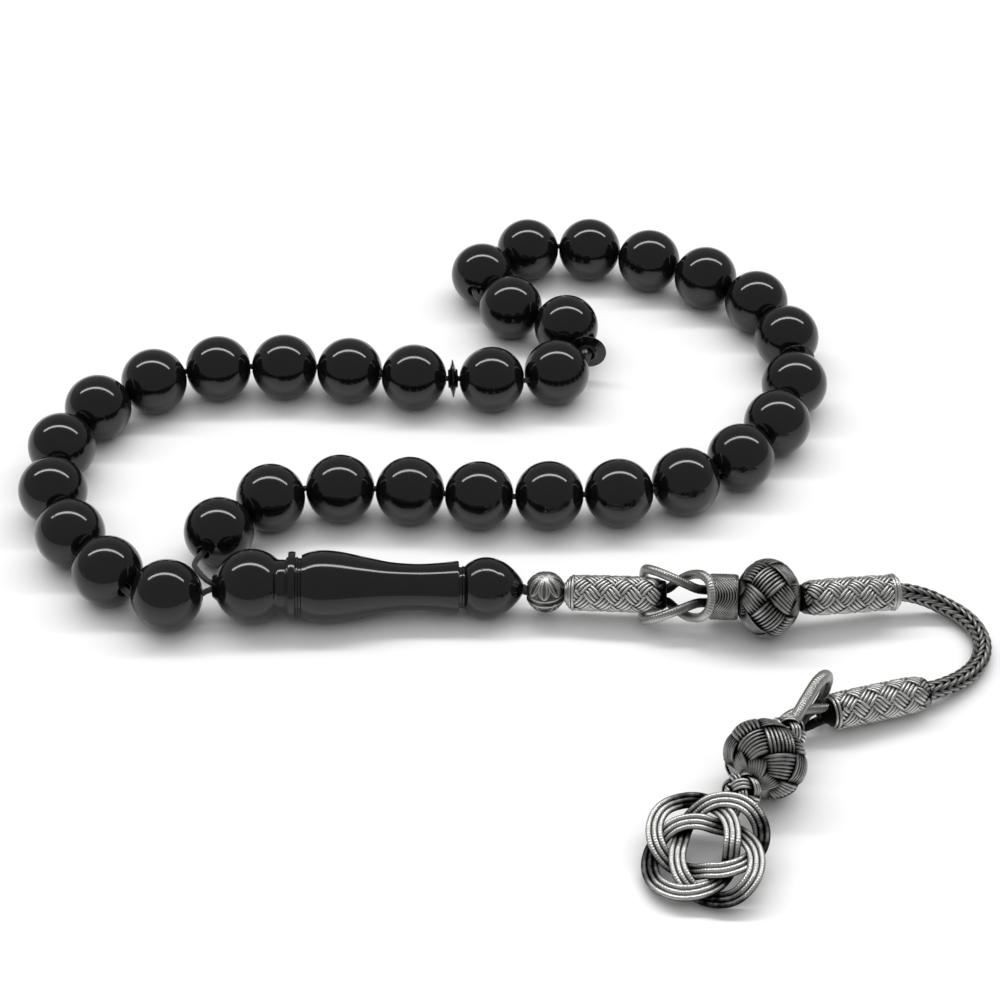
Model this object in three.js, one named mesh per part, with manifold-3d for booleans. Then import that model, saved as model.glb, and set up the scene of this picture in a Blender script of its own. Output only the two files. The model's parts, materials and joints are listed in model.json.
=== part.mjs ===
// Misbaha: 33 round black beads and three marker discs on one thread, closed by a turned
// leader bead, with a tassel woven from silver wire. Millimetres, +Z up, resting on z = 0.
import * as THREE from 'three';
import { mergeVertices } from 'three/addons/utils/BufferGeometryUtils.js';
import Module from 'manifold-3d';

const wasm = await Module();
wasm.setup();

// ---------------------------------------------------------------- driving dimensions
const GAP = 0.25; // clearance between pieces that touch on the real object

// Beads and discs on the thread
const BEAD_DIAMETER = 9.85;
const BEAD_HOLE_DIAMETER = 1.8;
const BEAD_COUNT = 33;
const BEADS_PER_SET = 11; // a marker disc stands between two sets
const SPLIT_BEAD = 13; // the second disc sits after this bead, past the middle set's start
const DISC_DIAMETER = 5.8;
const DISC_THICKNESS = 1.5;
const THREAD_DIAMETER = 0.9;
const SLACK_SLIDE = 2; // straight thread past the last bead, on which that bead can slide
const NOSE_SPACE = 1.4; // bare thread between the leader's nose and the first bead

// Leader, turned in one piece
const LEADER_LENGTH = 43.1;
const LEADER_BALL_DIAMETER = 10.4;
const LEADER_COLLAR_DIAMETER = 9.7;
const LEADER_BELLY_DIAMETER = 10.1;
const LEADER_WAIST_DIAMETER = 6.5;
const LEADER_LIP_DIAMETER = 7.4;
const LEADER_TAIL_DIAMETER = 8.5;
const LEADER_BORE_DIAMETER = 2.7;
const LEADER_TIP_DIAMETER = 3.3;
const BELLY_STATION = 15.7; // from the nose to the widest place of the belly
const TAIL_BALL_INSET = 5.1; // from the tail ball's middle to the tail end

// Tassel
const CAP_DIAMETER = 5.8;
const CAP_WALL = 0.5;
const CAP_HOLE_DIAMETER = 2.6;
const KNOT_DIAMETER = 2.6;
const SLEEVE_A_LENGTH = 13.6;
const SLEEVE_DIAMETER = 5.0;
const SLEEVE_BORE_DIAMETER = 3.6;
const LOOP_WIRE_DIAMETER = 1.3; // wrapped wire of the interlocked loops
const LEG_SPACING = 1.7; // between the two legs of a loop, centre to centre
const NECK_DIAMETER = 6.4;
const NECK_LENGTH = 3.7;
const BALL_A_DIAMETER = 11.0;
const BALL_A_LENGTH = 8.6;
const BALL_B_DIAMETER = 11.2;
const BALL_B_LENGTH = 8.8;
const DROP_WIRE_DIAMETER = 1.2; // wire of the two loops at the pendant
const BALL_WEAVE_THICKNESS = 1.6;
const COLLAR_DIAMETER = 5.0;
const COLLAR_LENGTH = 2.8;
const COLLAR_DROP = 1; // how far the two collars fall below the ball's axis
const CHAIN_DIAMETER = 2.7;
const CHAIN_GRIP = 2.5; // length of chain held inside each sleeve
const CLOVER_WIDTH = 17.2;
const CLOVER_HOLE = 4.6;
const CLOVER_BAND = 2.4; // three wires side by side
const CLOVER_WIRE = 0.8;
const STEM_DIAMETER = 1.6;

// ---------------------------------------------------------------- chosen places
// Route of the bead string on the surface, from the leader's nose round and back to it.
const NOSE = new THREE.Vector3(-38.9, -15.5, 5.6);
const STRING_ROUTE = [
  [-45.0, -16.7], [-53.8, -11.8], [-60.2, -3.7], [-64, 6], [-63.9, 16.4], [-59.4, 25.6],
  [-51.4, 32], [-41.9, 35], [-31.8, 35.3], [-21.7, 34.4], [-11.7, 32.7], [0.2, 32.2],
  [9.9, 34.2], [12.1, 44.7], [3.2, 50.3], [-1.9, 59.8], [5.3, 66.8], [15.5, 67],
  [25.2, 63.8], [34.2, 58.9], [41.7, 52.4], [45.8, 42.9], [45.8, 30.2], [42.3, 21.1],
  [36.3, 13.2], [28.1, 7.8], [18.5, 5.3], [8.6, 4.7], [-1.3, 4.6], [-11.3, 5.6],
  [-21.3, 6.2], [-31.2, 4.7], [-38.6, -2.6], [-41.5, -9],
];
const LEADER_HEADING = 1.7; // degrees from +X

// Leader's axis: it rests on its belly and on its tail ball.
const TAIL_STATION = LEADER_LENGTH - TAIL_BALL_INSET;
const leaderDrop = (LEADER_BELLY_DIAMETER - LEADER_TAIL_DIAMETER) / 2
  / (TAIL_STATION - BELLY_STATION);
const leaderDirection = new THREE.Vector3(
  Math.cos(THREE.MathUtils.degToRad(LEADER_HEADING)),
  Math.sin(THREE.MathUtils.degToRad(LEADER_HEADING)),
  -leaderDrop,
).normalize();

// The tassel's places were chosen with the leader's tail end at this point, and move with it.
const CHOSEN_TAIL_END = new THREE.Vector3(4.151, -14.222, 4.055);
const tailEnd = NOSE.clone().addScaledVector(leaderDirection, LEADER_LENGTH);
const place = (x, y, z) => new THREE.Vector3(x, y, z).sub(CHOSEN_TAIL_END).add(tailEnd);

const CAP_CENTRE = place(7.3, -15.2, 4.2);
const BALL_A_CENTRE = place(37.9, -17.9, BALL_A_DIAMETER / 2);
const LOOP_ROLL = 47; // degrees that the interlocked loops lie rolled about the tassel's axis
const SLEEVE_B_START = place(37.9 + BALL_A_LENGTH / 2 + 0.55, -17.9, 5.4);
const CHAIN_ROUTE = [
  place(56.1, -15.3, 4.3), place(58.2, -15.0, 3.7), place(60.6, -15.0, 2.8),
  place(63.0, -15.7, 1.9), place(65.2, -17.3, 1.5), place(66.7, -19.7, 1.4),
  place(67.2, -22.5, 1.4), place(66.7, -25.2, 1.4), place(65.3, -27.8, 1.5),
  place(63.0, -30.2, 1.8), place(60.4, -32.1, 2.3), place(57.9, -33.4, 2.7),
];
const SLEEVE_B_END = CHAIN_ROUTE[0];
const SLEEVE_C_START = CHAIN_ROUTE[CHAIN_ROUTE.length - 1];
const DROP_LINK = place(41.0, -39.1, 4.2); // where the pendant's loops cross
const SLEEVE_C_HEADING = 18.4; // degrees from +X, from the crossing to the sleeve's end
const SLEEVE_C_CLEARANCE = 1.3; // from the crossing, past half the sleeve's width
const SLEEVE_C_HEIGHT = 3.4;
const DROP_HEADING = -122.55; // degrees from +X, from the crossing to the second ball
const LINK_TO_BALL = 6.75; // from the crossing to the ball's near end
const CLOVER_HEADING = -122.1; // degrees from +X, from the ball to the clover
const BALL_TO_CLOVER = 11.4; // from the ball's far end to the clover's middle
const CLOVER_HEIGHT = 3.7;
const CLOVER_TILT = 17; // degrees; the side at the ball is raised
const CLOVER_TURN = 65; // degrees from its own axis to a lobe

const level = (heading) => new THREE.Vector3(
  Math.cos(THREE.MathUtils.degToRad(heading)),
  Math.sin(THREE.MathUtils.degToRad(heading)),
  0,
);
const SLEEVE_C_END = DROP_LINK.clone().setZ(SLEEVE_C_HEIGHT)
  .addScaledVector(level(SLEEVE_C_HEADING), SLEEVE_DIAMETER / 2 + SLEEVE_C_CLEARANCE);
const dropDirection = level(DROP_HEADING);
const dropLength = LINK_TO_BALL + BALL_B_LENGTH / 2;
const BALL_B_CENTRE = DROP_LINK.clone().addScaledVector(dropDirection, dropLength)
  .setZ(BALL_B_DIAMETER / 2);
const cloverDirection = level(CLOVER_HEADING);
const CLOVER_CENTRE = BALL_B_CENTRE.clone()
  .addScaledVector(cloverDirection, BALL_B_LENGTH / 2 + BALL_TO_CLOVER).setZ(CLOVER_HEIGHT);

// ---------------------------------------------------------------- materials
function finish(color, roughness, metalness) {
  return new THREE.MeshStandardMaterial({ color, roughness, metalness });
}
const jet = () => finish(0x0b0b0c, 0.12, 0);
const thread = () => finish(0x141414, 0.8, 0);
const silver = () => finish(0xa9a9a6, 0.35, 1);
const darkSilver = () => finish(0x5c5c5a, 0.45, 1);

// ---------------------------------------------------------------- shape helpers
const object = new THREE.Group();

function add(name, geometry, material, parent = object) {
  const mesh = new THREE.Mesh(geometry, material);
  mesh.name = name;
  parent.add(mesh);
  return mesh;
}

// A solid of revolution about +X from (x, radius) pairs going round a closed outline.
function turned(outline, sides) {
  const points = outline.map(([x, r]) => new THREE.Vector2(r, x));
  points.push(points[0].clone());
  return new THREE.LatheGeometry(points, sides).rotateZ(-Math.PI / 2);
}

// (x, radius) pairs of a spheroid about +X, cut square where it meets holeRadius.
function spheroid(halfLength, radius, holeRadius, steps) {
  const start = Math.asin(holeRadius / radius);
  return Array.from({ length: steps + 1 }, (_, i) => {
    const angle = start + ((Math.PI - 2 * start) * i) / steps;
    return [-halfLength * Math.cos(angle), radius * Math.sin(angle)];
  });
}

function disk(radius, sides) {
  return new THREE.Shape(Array.from({ length: sides }, (_, i) => {
    const angle = (2 * Math.PI * i) / sides;
    return new THREE.Vector2(radius * Math.cos(angle), radius * Math.sin(angle));
  }));
}

// A round rod along a smooth curve through the points.
function rod(points, diameter, sides, steps) {
  const extrudePath = new THREE.CatmullRomCurve3(points);
  return new THREE.ExtrudeGeometry(disk(diameter / 2, sides), { steps, extrudePath });
}

// A path of straight stretches, sampled exactly at its corners.
class Polyline extends THREE.Curve {
  constructor(points) {
    super();
    this.points = points;
  }

  getPoint(t, target = new THREE.Vector3()) {
    const place = t * (this.points.length - 1);
    const i = Math.min(Math.floor(place), this.points.length - 2);
    return target.lerpVectors(this.points[i], this.points[i + 1], place - i);
  }

  getPointAt(t, target) {
    return this.getPoint(t, target);
  }

  getSpacedPoints() {
    return this.points;
  }

  getTangentAt(t, target = new THREE.Vector3()) {
    const i = Math.round(t * (this.points.length - 1));
    const here = this.points[i];
    const before = this.points[Math.max(i - 1, 0)];
    const after = this.points[Math.min(i + 1, this.points.length - 1)];
    const arriving = here.clone().sub(before).normalize();
    const leaving = after.clone().sub(here).normalize();
    return target.copy(arriving).add(leaving).normalize();
  }
}

// A group whose +X runs from one point towards another, rolled about it by some degrees.
function aimed(from, to, roll = 0) {
  const group = new THREE.Group();
  const direction = to.clone().sub(from).normalize();
  const side = new THREE.Vector3(-direction.y, direction.x, 0).normalize();
  const up = direction.clone().cross(side);
  group.quaternion.setFromRotationMatrix(new THREE.Matrix4().makeBasis(direction, side, up));
  group.rotateX(THREE.MathUtils.degToRad(roll));
  group.position.copy(from);
  object.add(group);
  return group;
}

function toSolid(geometry) {
  const bare = geometry.clone();
  bare.deleteAttribute('normal');
  bare.deleteAttribute('uv');
  const merged = mergeVertices(bare, 1e-5);
  return new wasm.Manifold(new wasm.Mesh({
    numProp: 3,
    vertProperties: new Float32Array(merged.attributes.position.array),
    triVerts: new Uint32Array(merged.index.array),
  }));
}

function toGeometry(solid) {
  const mesh = solid.getMesh();
  const geometry = new THREE.BufferGeometry();
  geometry.setAttribute('position', new THREE.BufferAttribute(mesh.vertProperties, 3));
  geometry.setIndex(new THREE.BufferAttribute(mesh.triVerts, 1));
  geometry.computeVertexNormals();
  return geometry;
}

// ---------------------------------------------------------------- the string of beads
// Places each bead's centre along the route, a bead and its gap (and a disc) apart, for as
// long as the route leaves room for the slack before the leader's nose.
const ROUTE_SAMPLES = 4000;

function beadCentres() {
  const height = BEAD_DIAMETER / 2;
  const route = new THREE.CatmullRomCurve3(
    STRING_ROUTE.map(([x, y]) => new THREE.Vector3(x, y, height)),
    false,
    'centripetal',
  );
  const samples = route.getPoints(ROUTE_SAMPLES);
  const fromNose = (point) => Math.hypot(point.x - NOSE.x, point.y - NOSE.y);
  let at = samples.findIndex((point) => fromNose(point) >= BEAD_DIAMETER / 2 + NOSE_SPACE);
  const found = [samples[at]];
  while (found.length < BEAD_COUNT) {
    const here = found[found.length - 1];
    const spacing = BEAD_DIAMETER + GAP
      + (discFollows(found.length) ? DISC_THICKNESS + GAP : 0);
    const next = samples.findIndex((point, i) => i > at && point.distanceTo(here) >= spacing);
    if (next < 0 || fromNose(samples[next]) < BEAD_DIAMETER / 2 + 2 * SLACK_SLIDE) break;
    at = next;
    found.push(samples[at]);
  }
  const passed = ((STRING_ROUTE.length - 1) * at) / ROUTE_SAMPLES;
  const first = Math.min(Math.ceil(passed + 0.8), STRING_ROUTE.length - 1);
  const rest = STRING_ROUTE.slice(first).map(([x, y]) => new THREE.Vector3(x, y, height));
  return { centres: found, rest };
}

function discFollows(bead) {
  return bead === BEADS_PER_SET || bead === SPLIT_BEAD || bead === 2 * BEADS_PER_SET;
}

const { centres, rest: restOfRoute } = beadCentres();
const LAST = centres.length - 1;

// The thread runs straight through a bead, so neighbouring beads turn until the mouths of
// their holes face each other: one hole's direction is the other's mirrored in the line
// between the two centres. The ends of the string are lines to the leader and to the slack.
const HOLE_PASSES = 8;

function mirror(direction, line) {
  return line.clone().multiplyScalar(2 * line.dot(direction)).sub(direction);
}

function findHoleDirections() {
  const stops = [NOSE, ...centres, restOfRoute[0]];
  const lines = stops.slice(1).map((stop, i) => stop.clone().sub(stops[i]).setZ(0).normalize());
  let holes = centres.map((_, i) => lines[i].clone().add(lines[i + 1]).normalize());
  for (let pass = 0; pass < HOLE_PASSES; pass += 1) {
    holes = holes.map((hole, i) => {
      const asBefore = i === 0 ? lines[0] : mirror(holes[i - 1], lines[i]);
      const asAfter = i === LAST ? lines[i + 1] : mirror(holes[i + 1], lines[i + 1]);
      return hole.clone().add(asBefore).add(asAfter).normalize();
    });
  }
  return holes;
}

const holes = findHoleDirections();

function makeBeads() {
  const hole = BEAD_HOLE_DIAMETER / 2;
  const outline = spheroid(BEAD_DIAMETER / 2, BEAD_DIAMETER / 2, hole, 7);
  centres.forEach((centre, i) => {
    const group = aimed(centre, centre.clone().add(holes[i]));
    const number = String(i + 1).padStart(2, '0');
    add(`bead_${number}`, turned(outline, 12), jet(), group);
  });
}

// Midpoint of the thread between bead i and the next, and the direction it runs there.
function betweenBeads(i) {
  const leave = centres[i].clone().addScaledVector(holes[i], BEAD_DIAMETER / 2);
  const enter = centres[i + 1].clone().addScaledVector(holes[i + 1], -BEAD_DIAMETER / 2);
  return { leave, enter, middle: leave.clone().lerp(enter, 0.5) };
}

function makeDiscs() {
  const r = DISC_DIAMETER / 2;
  const t = DISC_THICKNESS / 2;
  const hole = BEAD_HOLE_DIAMETER / 2;
  const outline = [
    [-t, hole], [-t, hole + 0.5], [-0.16 * t, r], [0.16 * t, r], [t, hole + 0.5], [t, hole],
  ];
  let number = 1;
  for (let i = 0; i < LAST; i += 1) {
    if (!discFollows(i + 1)) continue;
    const { leave, enter, middle } = betweenBeads(i);
    const group = aimed(middle, middle.clone().add(enter.sub(leave)));
    add(`marker_disc_${number}`, turned(outline, 14), jet(), group);
    number += 1;
  }
}

function makeLeader() {
  const bore = LEADER_BORE_DIAMETER / 2;
  const ball = LEADER_BALL_DIAMETER / 2;
  const collar = LEADER_COLLAR_DIAMETER / 2;
  const belly = LEADER_BELLY_DIAMETER / 2;
  const waist = LEADER_WAIST_DIAMETER / 2;
  const lip = LEADER_LIP_DIAMETER / 2;
  const tail = LEADER_TAIL_DIAMETER / 2;
  const noseBall = spheroid(ball, ball, bore, 10).slice(1, 8).map(([x, r]) => [x + ball + 0.2, r]);
  const tailBall = spheroid(tail, tail, bore, 10).slice(3, 8).map(([x, r]) => [x + TAIL_STATION, r]);
  const fromTail = (distance) => LEADER_LENGTH - distance;
  const outline = [
    [0, bore], [0, bore + 0.2], ...noseBall,
    [9.1, 3.75], [10.5, 3.75], [10.6, collar], [11.5, collar], [11.6, 4.0], [12.3, 4.0],
    [12.5, 4.45], [13.9, 0.97 * belly], [BELLY_STATION, belly], [17.8, 0.96 * belly],
    [21.5, 4.1], [fromTail(18.4), 1.07 * waist], [fromTail(14.6), waist],
    [fromTail(11.8), 1.05 * waist], [fromTail(9.4), lip], [fromTail(9), lip],
    [fromTail(8.95), 2.85], [fromTail(8.2), 2.85], ...tailBall,
    [fromTail(1.3), 2.1], [LEADER_LENGTH, LEADER_TIP_DIAMETER / 2], [LEADER_LENGTH, bore],
  ];
  const group = aimed(NOSE, NOSE.clone().add(leaderDirection));
  add('leader', turned(outline, 20), jet(), group);
}

// Thread: one length, round through every bead and back into the leader's bore.
const THREAD_APART = 0.55; // half the distance between its two runs in the bore
const THREAD_BEND = 8; // station where both runs have straightened out
const THREAD_END = LEADER_LENGTH - 2.5;

function makeThread() {
  const inBore = (station, side) => NOSE.clone()
    .addScaledVector(leaderDirection, station)
    .add(new THREE.Vector3(0, side * THREAD_APART, 0));
  const firstBead = centres[0];
  const points = [inBore(THREAD_END, -1), inBore(THREAD_BEND, -1), inBore(0.2, -1)];
  points.push(firstBead.clone().addScaledVector(holes[0], -BEAD_DIAMETER / 2 - GAP));
  for (let i = 0; i < LAST; i += 1) {
    const { leave, enter, middle } = betweenBeads(i);
    if (leave.distanceTo(enter) < 1.5 * THREAD_DIAMETER) {
      points.push(middle);
    } else {
      points.push(leave.addScaledVector(holes[i], GAP));
      points.push(enter.addScaledVector(holes[i + 1], -GAP));
    }
  }
  const last = centres[LAST].clone().addScaledVector(holes[LAST], BEAD_DIAMETER / 2);
  points.push(last, ...slackBend(last));
  points.push(inBore(0, 1), inBore(THREAD_BEND, 1), inBore(THREAD_END, 1));
  const extrudePath = new Polyline(points);
  const geometry = new THREE.ExtrudeGeometry(disk(THREAD_DIAMETER / 2, 8), {
    steps: points.length - 1,
    extrudePath,
  });
  add('strand_thread', geometry, thread());
}

// The slack between the last bead and the leader's nose lies in an easy bend.
function slackBend(from) {
  const a = from.clone().addScaledVector(holes[LAST], SLACK_SLIDE + 0.4);
  const b = NOSE.clone().addScaledVector(leaderDirection, -0.7).add(new THREE.Vector3(0, 1, 0));
  const along = restOfRoute.slice(0, -1);
  const bend = (along.at(-1) ?? a).clone().lerp(b, 0.55).add(new THREE.Vector3(-0.3, 0, 0));
  return [a, ...along, bend, b];
}

// ---------------------------------------------------------------- tassel, first length
const headDirection = BALL_A_CENTRE.clone().sub(CAP_CENTRE).normalize();
const headLength = BALL_A_CENTRE.distanceTo(CAP_CENTRE);
const onHead = (station) => CAP_CENTRE.clone().addScaledVector(headDirection, station);
const headGroup = (roll = 0) => aimed(CAP_CENTRE, BALL_A_CENTRE, roll);

// Stations along the first length, from the cap bead's centre
const SLEEVE_A_START = CAP_DIAMETER / 2 + GAP;
const SLEEVE_A_END = SLEEVE_A_START + SLEEVE_A_LENGTH;
const NECK_END = headLength - BALL_A_LENGTH / 2 - GAP;
const NECK_START = NECK_END - NECK_LENGTH;

function makeCap() {
  const outer = spheroid(CAP_DIAMETER / 2, CAP_DIAMETER / 2, CAP_HOLE_DIAMETER / 2, 8);
  const r = CAP_DIAMETER / 2 - CAP_WALL;
  const inner = spheroid(r, r, CAP_HOLE_DIAMETER / 2, 8).reverse();
  const shell = toSolid(turned([...outer, ...inner], 16));
  const half = new THREE.BoxGeometry(2 * CAP_DIAMETER, 2 * CAP_DIAMETER, CAP_DIAMETER);
  const lift = CAP_DIAMETER / 2 + GAP / 2;
  const group = headGroup();
  for (const [name, side] of [['cap_bead_upper', 1], ['cap_bead_lower', -1]]) {
    const keep = toSolid(half.clone().translate(0, 0, side * lift));
    add(name, toGeometry(shell.intersect(keep)), silver(), group);
  }
  const knot = new THREE.IcosahedronGeometry(KNOT_DIAMETER / 2, 1);
  add('thread_knot', knot, thread(), group);
}

// The thread's two ends, twisted together, from the leader's tail to the knot in the cap.
function makeTailThread() {
  const from = NOSE.clone().addScaledVector(leaderDirection, LEADER_LENGTH - 2.1);
  const to = onHead(-KNOT_DIAMETER / 2 - GAP);
  const mouth = NOSE.clone().addScaledVector(leaderDirection, LEADER_LENGTH + 0.2);
  const capMouth = onHead(-CAP_DIAMETER / 2);
  const points = [from, mouth, capMouth, to];
  const extrudePath = new Polyline(points);
  const shape = disk(0.6 * THREAD_DIAMETER, 8);
  const geometry = new THREE.ExtrudeGeometry(shape, { steps: points.length - 1, extrudePath });
  add('tail_thread', geometry, thread());
}

// A woven sleeve: a rolled ring at the start, a taper at the end, and a bore.
function sleeve(length, ring, taper, endDiameter, sides = 16) {
  const r = SLEEVE_DIAMETER / 2;
  const bore = SLEEVE_BORE_DIAMETER / 2;
  const outline = [[0, bore], [0, r - 0.35], [0.35, r + ring], [0.9, r + ring], [1.2, r],
    [length / 2, r], [length - taper, r], [length, endDiameter / 2], [length, bore]];
  return turned(outline, sides);
}

// Two interlocked loops. Loop A leaves sleeve A, passes under loop B's legs and closes over
// the neck; loop B leaves the neck, passes over A's legs and closes behind the sleeve.
function makeLinkedLoops() {
  const leg = LEG_SPACING / 2;
  const wire = LOOP_WIRE_DIAMETER;
  const overNeck = NECK_DIAMETER / 2 + wire / 2 + GAP + 0.1;
  const behindSleeve = SLEEVE_DIAMETER / 2 + wire / 2 + GAP + 0.1;
  const beside = SLEEVE_DIAMETER / 2 + 0.1;
  const a = SLEEVE_A_END;
  const n = NECK_START;
  const halfA = [
    [a - 5, leg, 0], [a - 1.2, leg, 0], [a + 0.1, leg + 0.05, -0.1], [a + 1.4, 1.9, -0.75],
    [a + 2.7, 2.7, -0.3], [n - 1.7, 3.0, 1.2], [n - 0.6, 2.75, 2.9],
    [n + 0.2, 1.9, overNeck - 0.45],
  ];
  const halfB = [
    [n + 3.2, leg, 0], [n + 0.9, leg, 0], [n - 0.2, leg + 0.03, 0.15], [n - 1.5, 1.0, 1.0],
    [n - 3.4, 1.75, 1.45], [a + 0.3, beside, 1.85], [a - 1.8, beside + 0.75, 1.0],
    [a - 3.0, behindSleeve, -0.7], [a - 3.3, 0.68 * behindSleeve, -0.76 * behindSleeve],
  ];
  const closeA = [n + 0.6, 0, overNeck];
  const closeB = [a - 3.4, 0, -behindSleeve - 0.05];
  const mirrored = (half) => half.map(([x, y, z]) => [x, -y, z]).reverse();
  const group = headGroup(LOOP_ROLL);
  for (const [name, half, close, steps] of [
    ['link_loop_a', halfA, closeA, 36], ['link_loop_b', halfB, closeB, 38],
  ]) {
    const path = [...half, close, ...mirrored(half)].map((p) => new THREE.Vector3(...p));
    add(name, rod(path, wire, 6, steps), silver(), group);
  }
}

function makeNeck() {
  const r = NECK_DIAMETER / 2;
  const bore = SLEEVE_BORE_DIAMETER / 2;
  const outline = [[NECK_START, bore], [NECK_START, r - 0.3], [NECK_START + 0.4, r],
    [NECK_END - 0.3, r], [NECK_END, r - 0.3], [NECK_END, bore]];
  add('neck_wrap', turned(outline, 16), darkSilver(), headGroup());
}

// A woven ball: a turned core with the weave as a separate shell round it.
function makeBall(name, centre, towards, diameter, length) {
  const bore = SLEEVE_BORE_DIAMETER / 2;
  const half = length / 2;
  const r = diameter / 2;
  const skin = BALL_WEAVE_THICKNESS;
  const group = aimed(centre, towards);
  const outer = spheroid(half * 1.06, r, bore + 0.5, 8);
  const inner = spheroid(half - 0.55 * skin, r - skin, bore + 0.1, 8).reverse();
  add(`${name}_weave`, turned([...outer, ...inner], 18), darkSilver(), group);
  const coreHalf = half - 0.55 * skin - 1.2 * GAP;
  const core = spheroid(coreHalf, r - skin - 1.2 * GAP, bore + 0.1, 6);
  const first = core[0];
  const last = core[core.length - 1];
  core.unshift([first[0], bore - 0.2]);
  core.push([last[0], bore - 0.2]);
  add(`${name}_core`, turned(core, 14), finish(0x6b4a2b, 0.7, 0), group);
}

// ---------------------------------------------------------------- tassel, second length
function makeSleeves() {
  const a = aimed(onHead(SLEEVE_A_START), BALL_A_CENTRE);
  add('sleeve_a', sleeve(SLEEVE_A_LENGTH, 0.15, 1.9, SLEEVE_DIAMETER - 0.7), silver(), a);
  const lengthB = SLEEVE_B_END.distanceTo(SLEEVE_B_START);
  const b = aimed(SLEEVE_B_END, SLEEVE_B_START);
  add('sleeve_b', sleeve(lengthB, 0.1, 2.2, SLEEVE_DIAMETER - 1), silver(), b);
  const lengthC = SLEEVE_C_END.distanceTo(SLEEVE_C_START);
  const c = aimed(SLEEVE_C_END, SLEEVE_C_START);
  const openEnd = LEG_SPACING + DROP_WIRE_DIAMETER + 1.1;
  add('sleeve_c', sleeve(lengthC, -0.1, 2.6, openEnd), silver(), c);
}

// Square-plaited chain, held at each end in a sleeve's bore.
function makeChain() {
  const into = (mouth, farEnd) => mouth.clone()
    .addScaledVector(farEnd.clone().sub(mouth).normalize(), CHAIN_GRIP);
  const path = [into(SLEEVE_B_END, SLEEVE_B_START), ...CHAIN_ROUTE,
    into(SLEEVE_C_START, SLEEVE_C_END)];
  add('foxtail_chain', rod(path, CHAIN_DIAMETER, 8, 30), darkSilver());
}

// The two loops at the pendant stand upright and pass through each other like chain links.
// Where they cross, their four strands lie one above another, this far apart.
const STRAND_STEP = DROP_WIRE_DIAMETER + GAP + 0.2;

function uprightLoop(name, direction, points) {
  const path = points.map(([along, height]) => DROP_LINK.clone().setZ(height)
    .addScaledVector(direction, along));
  add(name, rod(path, DROP_WIRE_DIAMETER, 6, 30), silver());
}

function makeDropLoops() {
  const leg = LEG_SPACING / 2;
  const z = DROP_LINK.z;
  const step = STRAND_STEP;
  const end = SLEEVE_C_END;
  const alongC = end.clone().sub(SLEEVE_C_START).setZ(0).normalize();
  const reach = end.clone().sub(DROP_LINK).setZ(0).length();
  uprightLoop('drop_loop', alongC, [
    [-reach - 4, end.z + leg - 0.2], [-reach, end.z + leg], [0, z + 0.5 * step],
    [2.2, z + 0.3 * step], [3.3, z - 0.5 * step], [2.2, z - 1.3 * step], [0, z - 1.5 * step],
    [-reach, end.z - leg], [-reach - 4, end.z - leg - 0.2],
  ]);
  const axisHeight = (along) => BALL_B_CENTRE.z - COLLAR_DROP * (1 - along / dropLength);
  const inBall = dropLength - BALL_B_LENGTH / 2 + 0.9;
  const collarStart = dropLength - BALL_B_LENGTH / 2 - GAP - COLLAR_LENGTH;
  uprightLoop('drop_ring', dropDirection, [
    [inBall, axisHeight(inBall) + leg], [collarStart, axisHeight(collarStart) + leg],
    [0, z + 1.5 * step], [-3.5, z + 1.9 * step], [-6.0, z + 1.3 * step], [-6.8, z + 0.2 * step],
    [-5.6, z - 0.9 * step], [-3.4, z - 1.1 * step], [-1.2, z - 0.5 * step], [0, z - 0.5 * step],
    [collarStart, axisHeight(collarStart) - leg], [inBall, axisHeight(inBall) - leg],
  ]);
}

// A short knotted collar round two legs, from one distance to another along its group's +X.
function collar(start, end) {
  const r = COLLAR_DIAMETER / 2;
  const bore = SLEEVE_BORE_DIAMETER / 2;
  return turned([[start, bore], [start, r - 0.4], [start + 0.5, r], [end - 0.5, r],
    [end, r - 0.4], [end, bore]], 14);
}

function makeUpperCollar() {
  const knot = DROP_LINK.clone().setZ(BALL_B_CENTRE.z - COLLAR_DROP);
  const start = BALL_B_LENGTH / 2 + GAP;
  const group = aimed(BALL_B_CENTRE, knot);
  add('collar_knot_1', collar(start, start + COLLAR_LENGTH), silver(), group);
}

// ---------------------------------------------------------------- clover pendant
const LOWER_COLLAR_START = BALL_B_LENGTH / 2 + 2 * GAP;
const LOWER_COLLAR_END = LOWER_COLLAR_START + COLLAR_LENGTH;
const lowerCollarAim = CLOVER_CENTRE.clone().setZ(BALL_B_CENTRE.z - COLLAR_DROP);

function onLowerCollar(distance) {
  const along = lowerCollarAim.clone().sub(BALL_B_CENTRE).normalize();
  return BALL_B_CENTRE.clone().addScaledVector(along, distance);
}

function makeLowerCollar() {
  const group = aimed(BALL_B_CENTRE, lowerCollarAim);
  add('collar_knot_2', collar(LOWER_COLLAR_START, LOWER_COLLAR_END), silver(), group);
}

// One wire laid three times side by side in a flat knot of four lobes: the radius swings
// four times while the wire goes three times round, and it passes over and under in turn.
class Clover extends THREE.Curve {
  constructor(lift) {
    super();
    this.lift = lift;
  }

  getPoint(t, target = new THREE.Vector3()) {
    const outer = (CLOVER_WIDTH - CLOVER_BAND) / 2;
    const inner = (CLOVER_HOLE + CLOVER_BAND) / 2;
    const turn = 2 * Math.PI * t;
    const big = (outer + inner) / 2;
    const small = (outer - inner) / 2;
    return target.set(
      big * Math.cos(3 * turn) + small * Math.cos(turn),
      big * Math.sin(3 * turn) - small * Math.sin(turn),
      this.lift * Math.sin(8 * turn),
    );
  }
}

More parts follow.
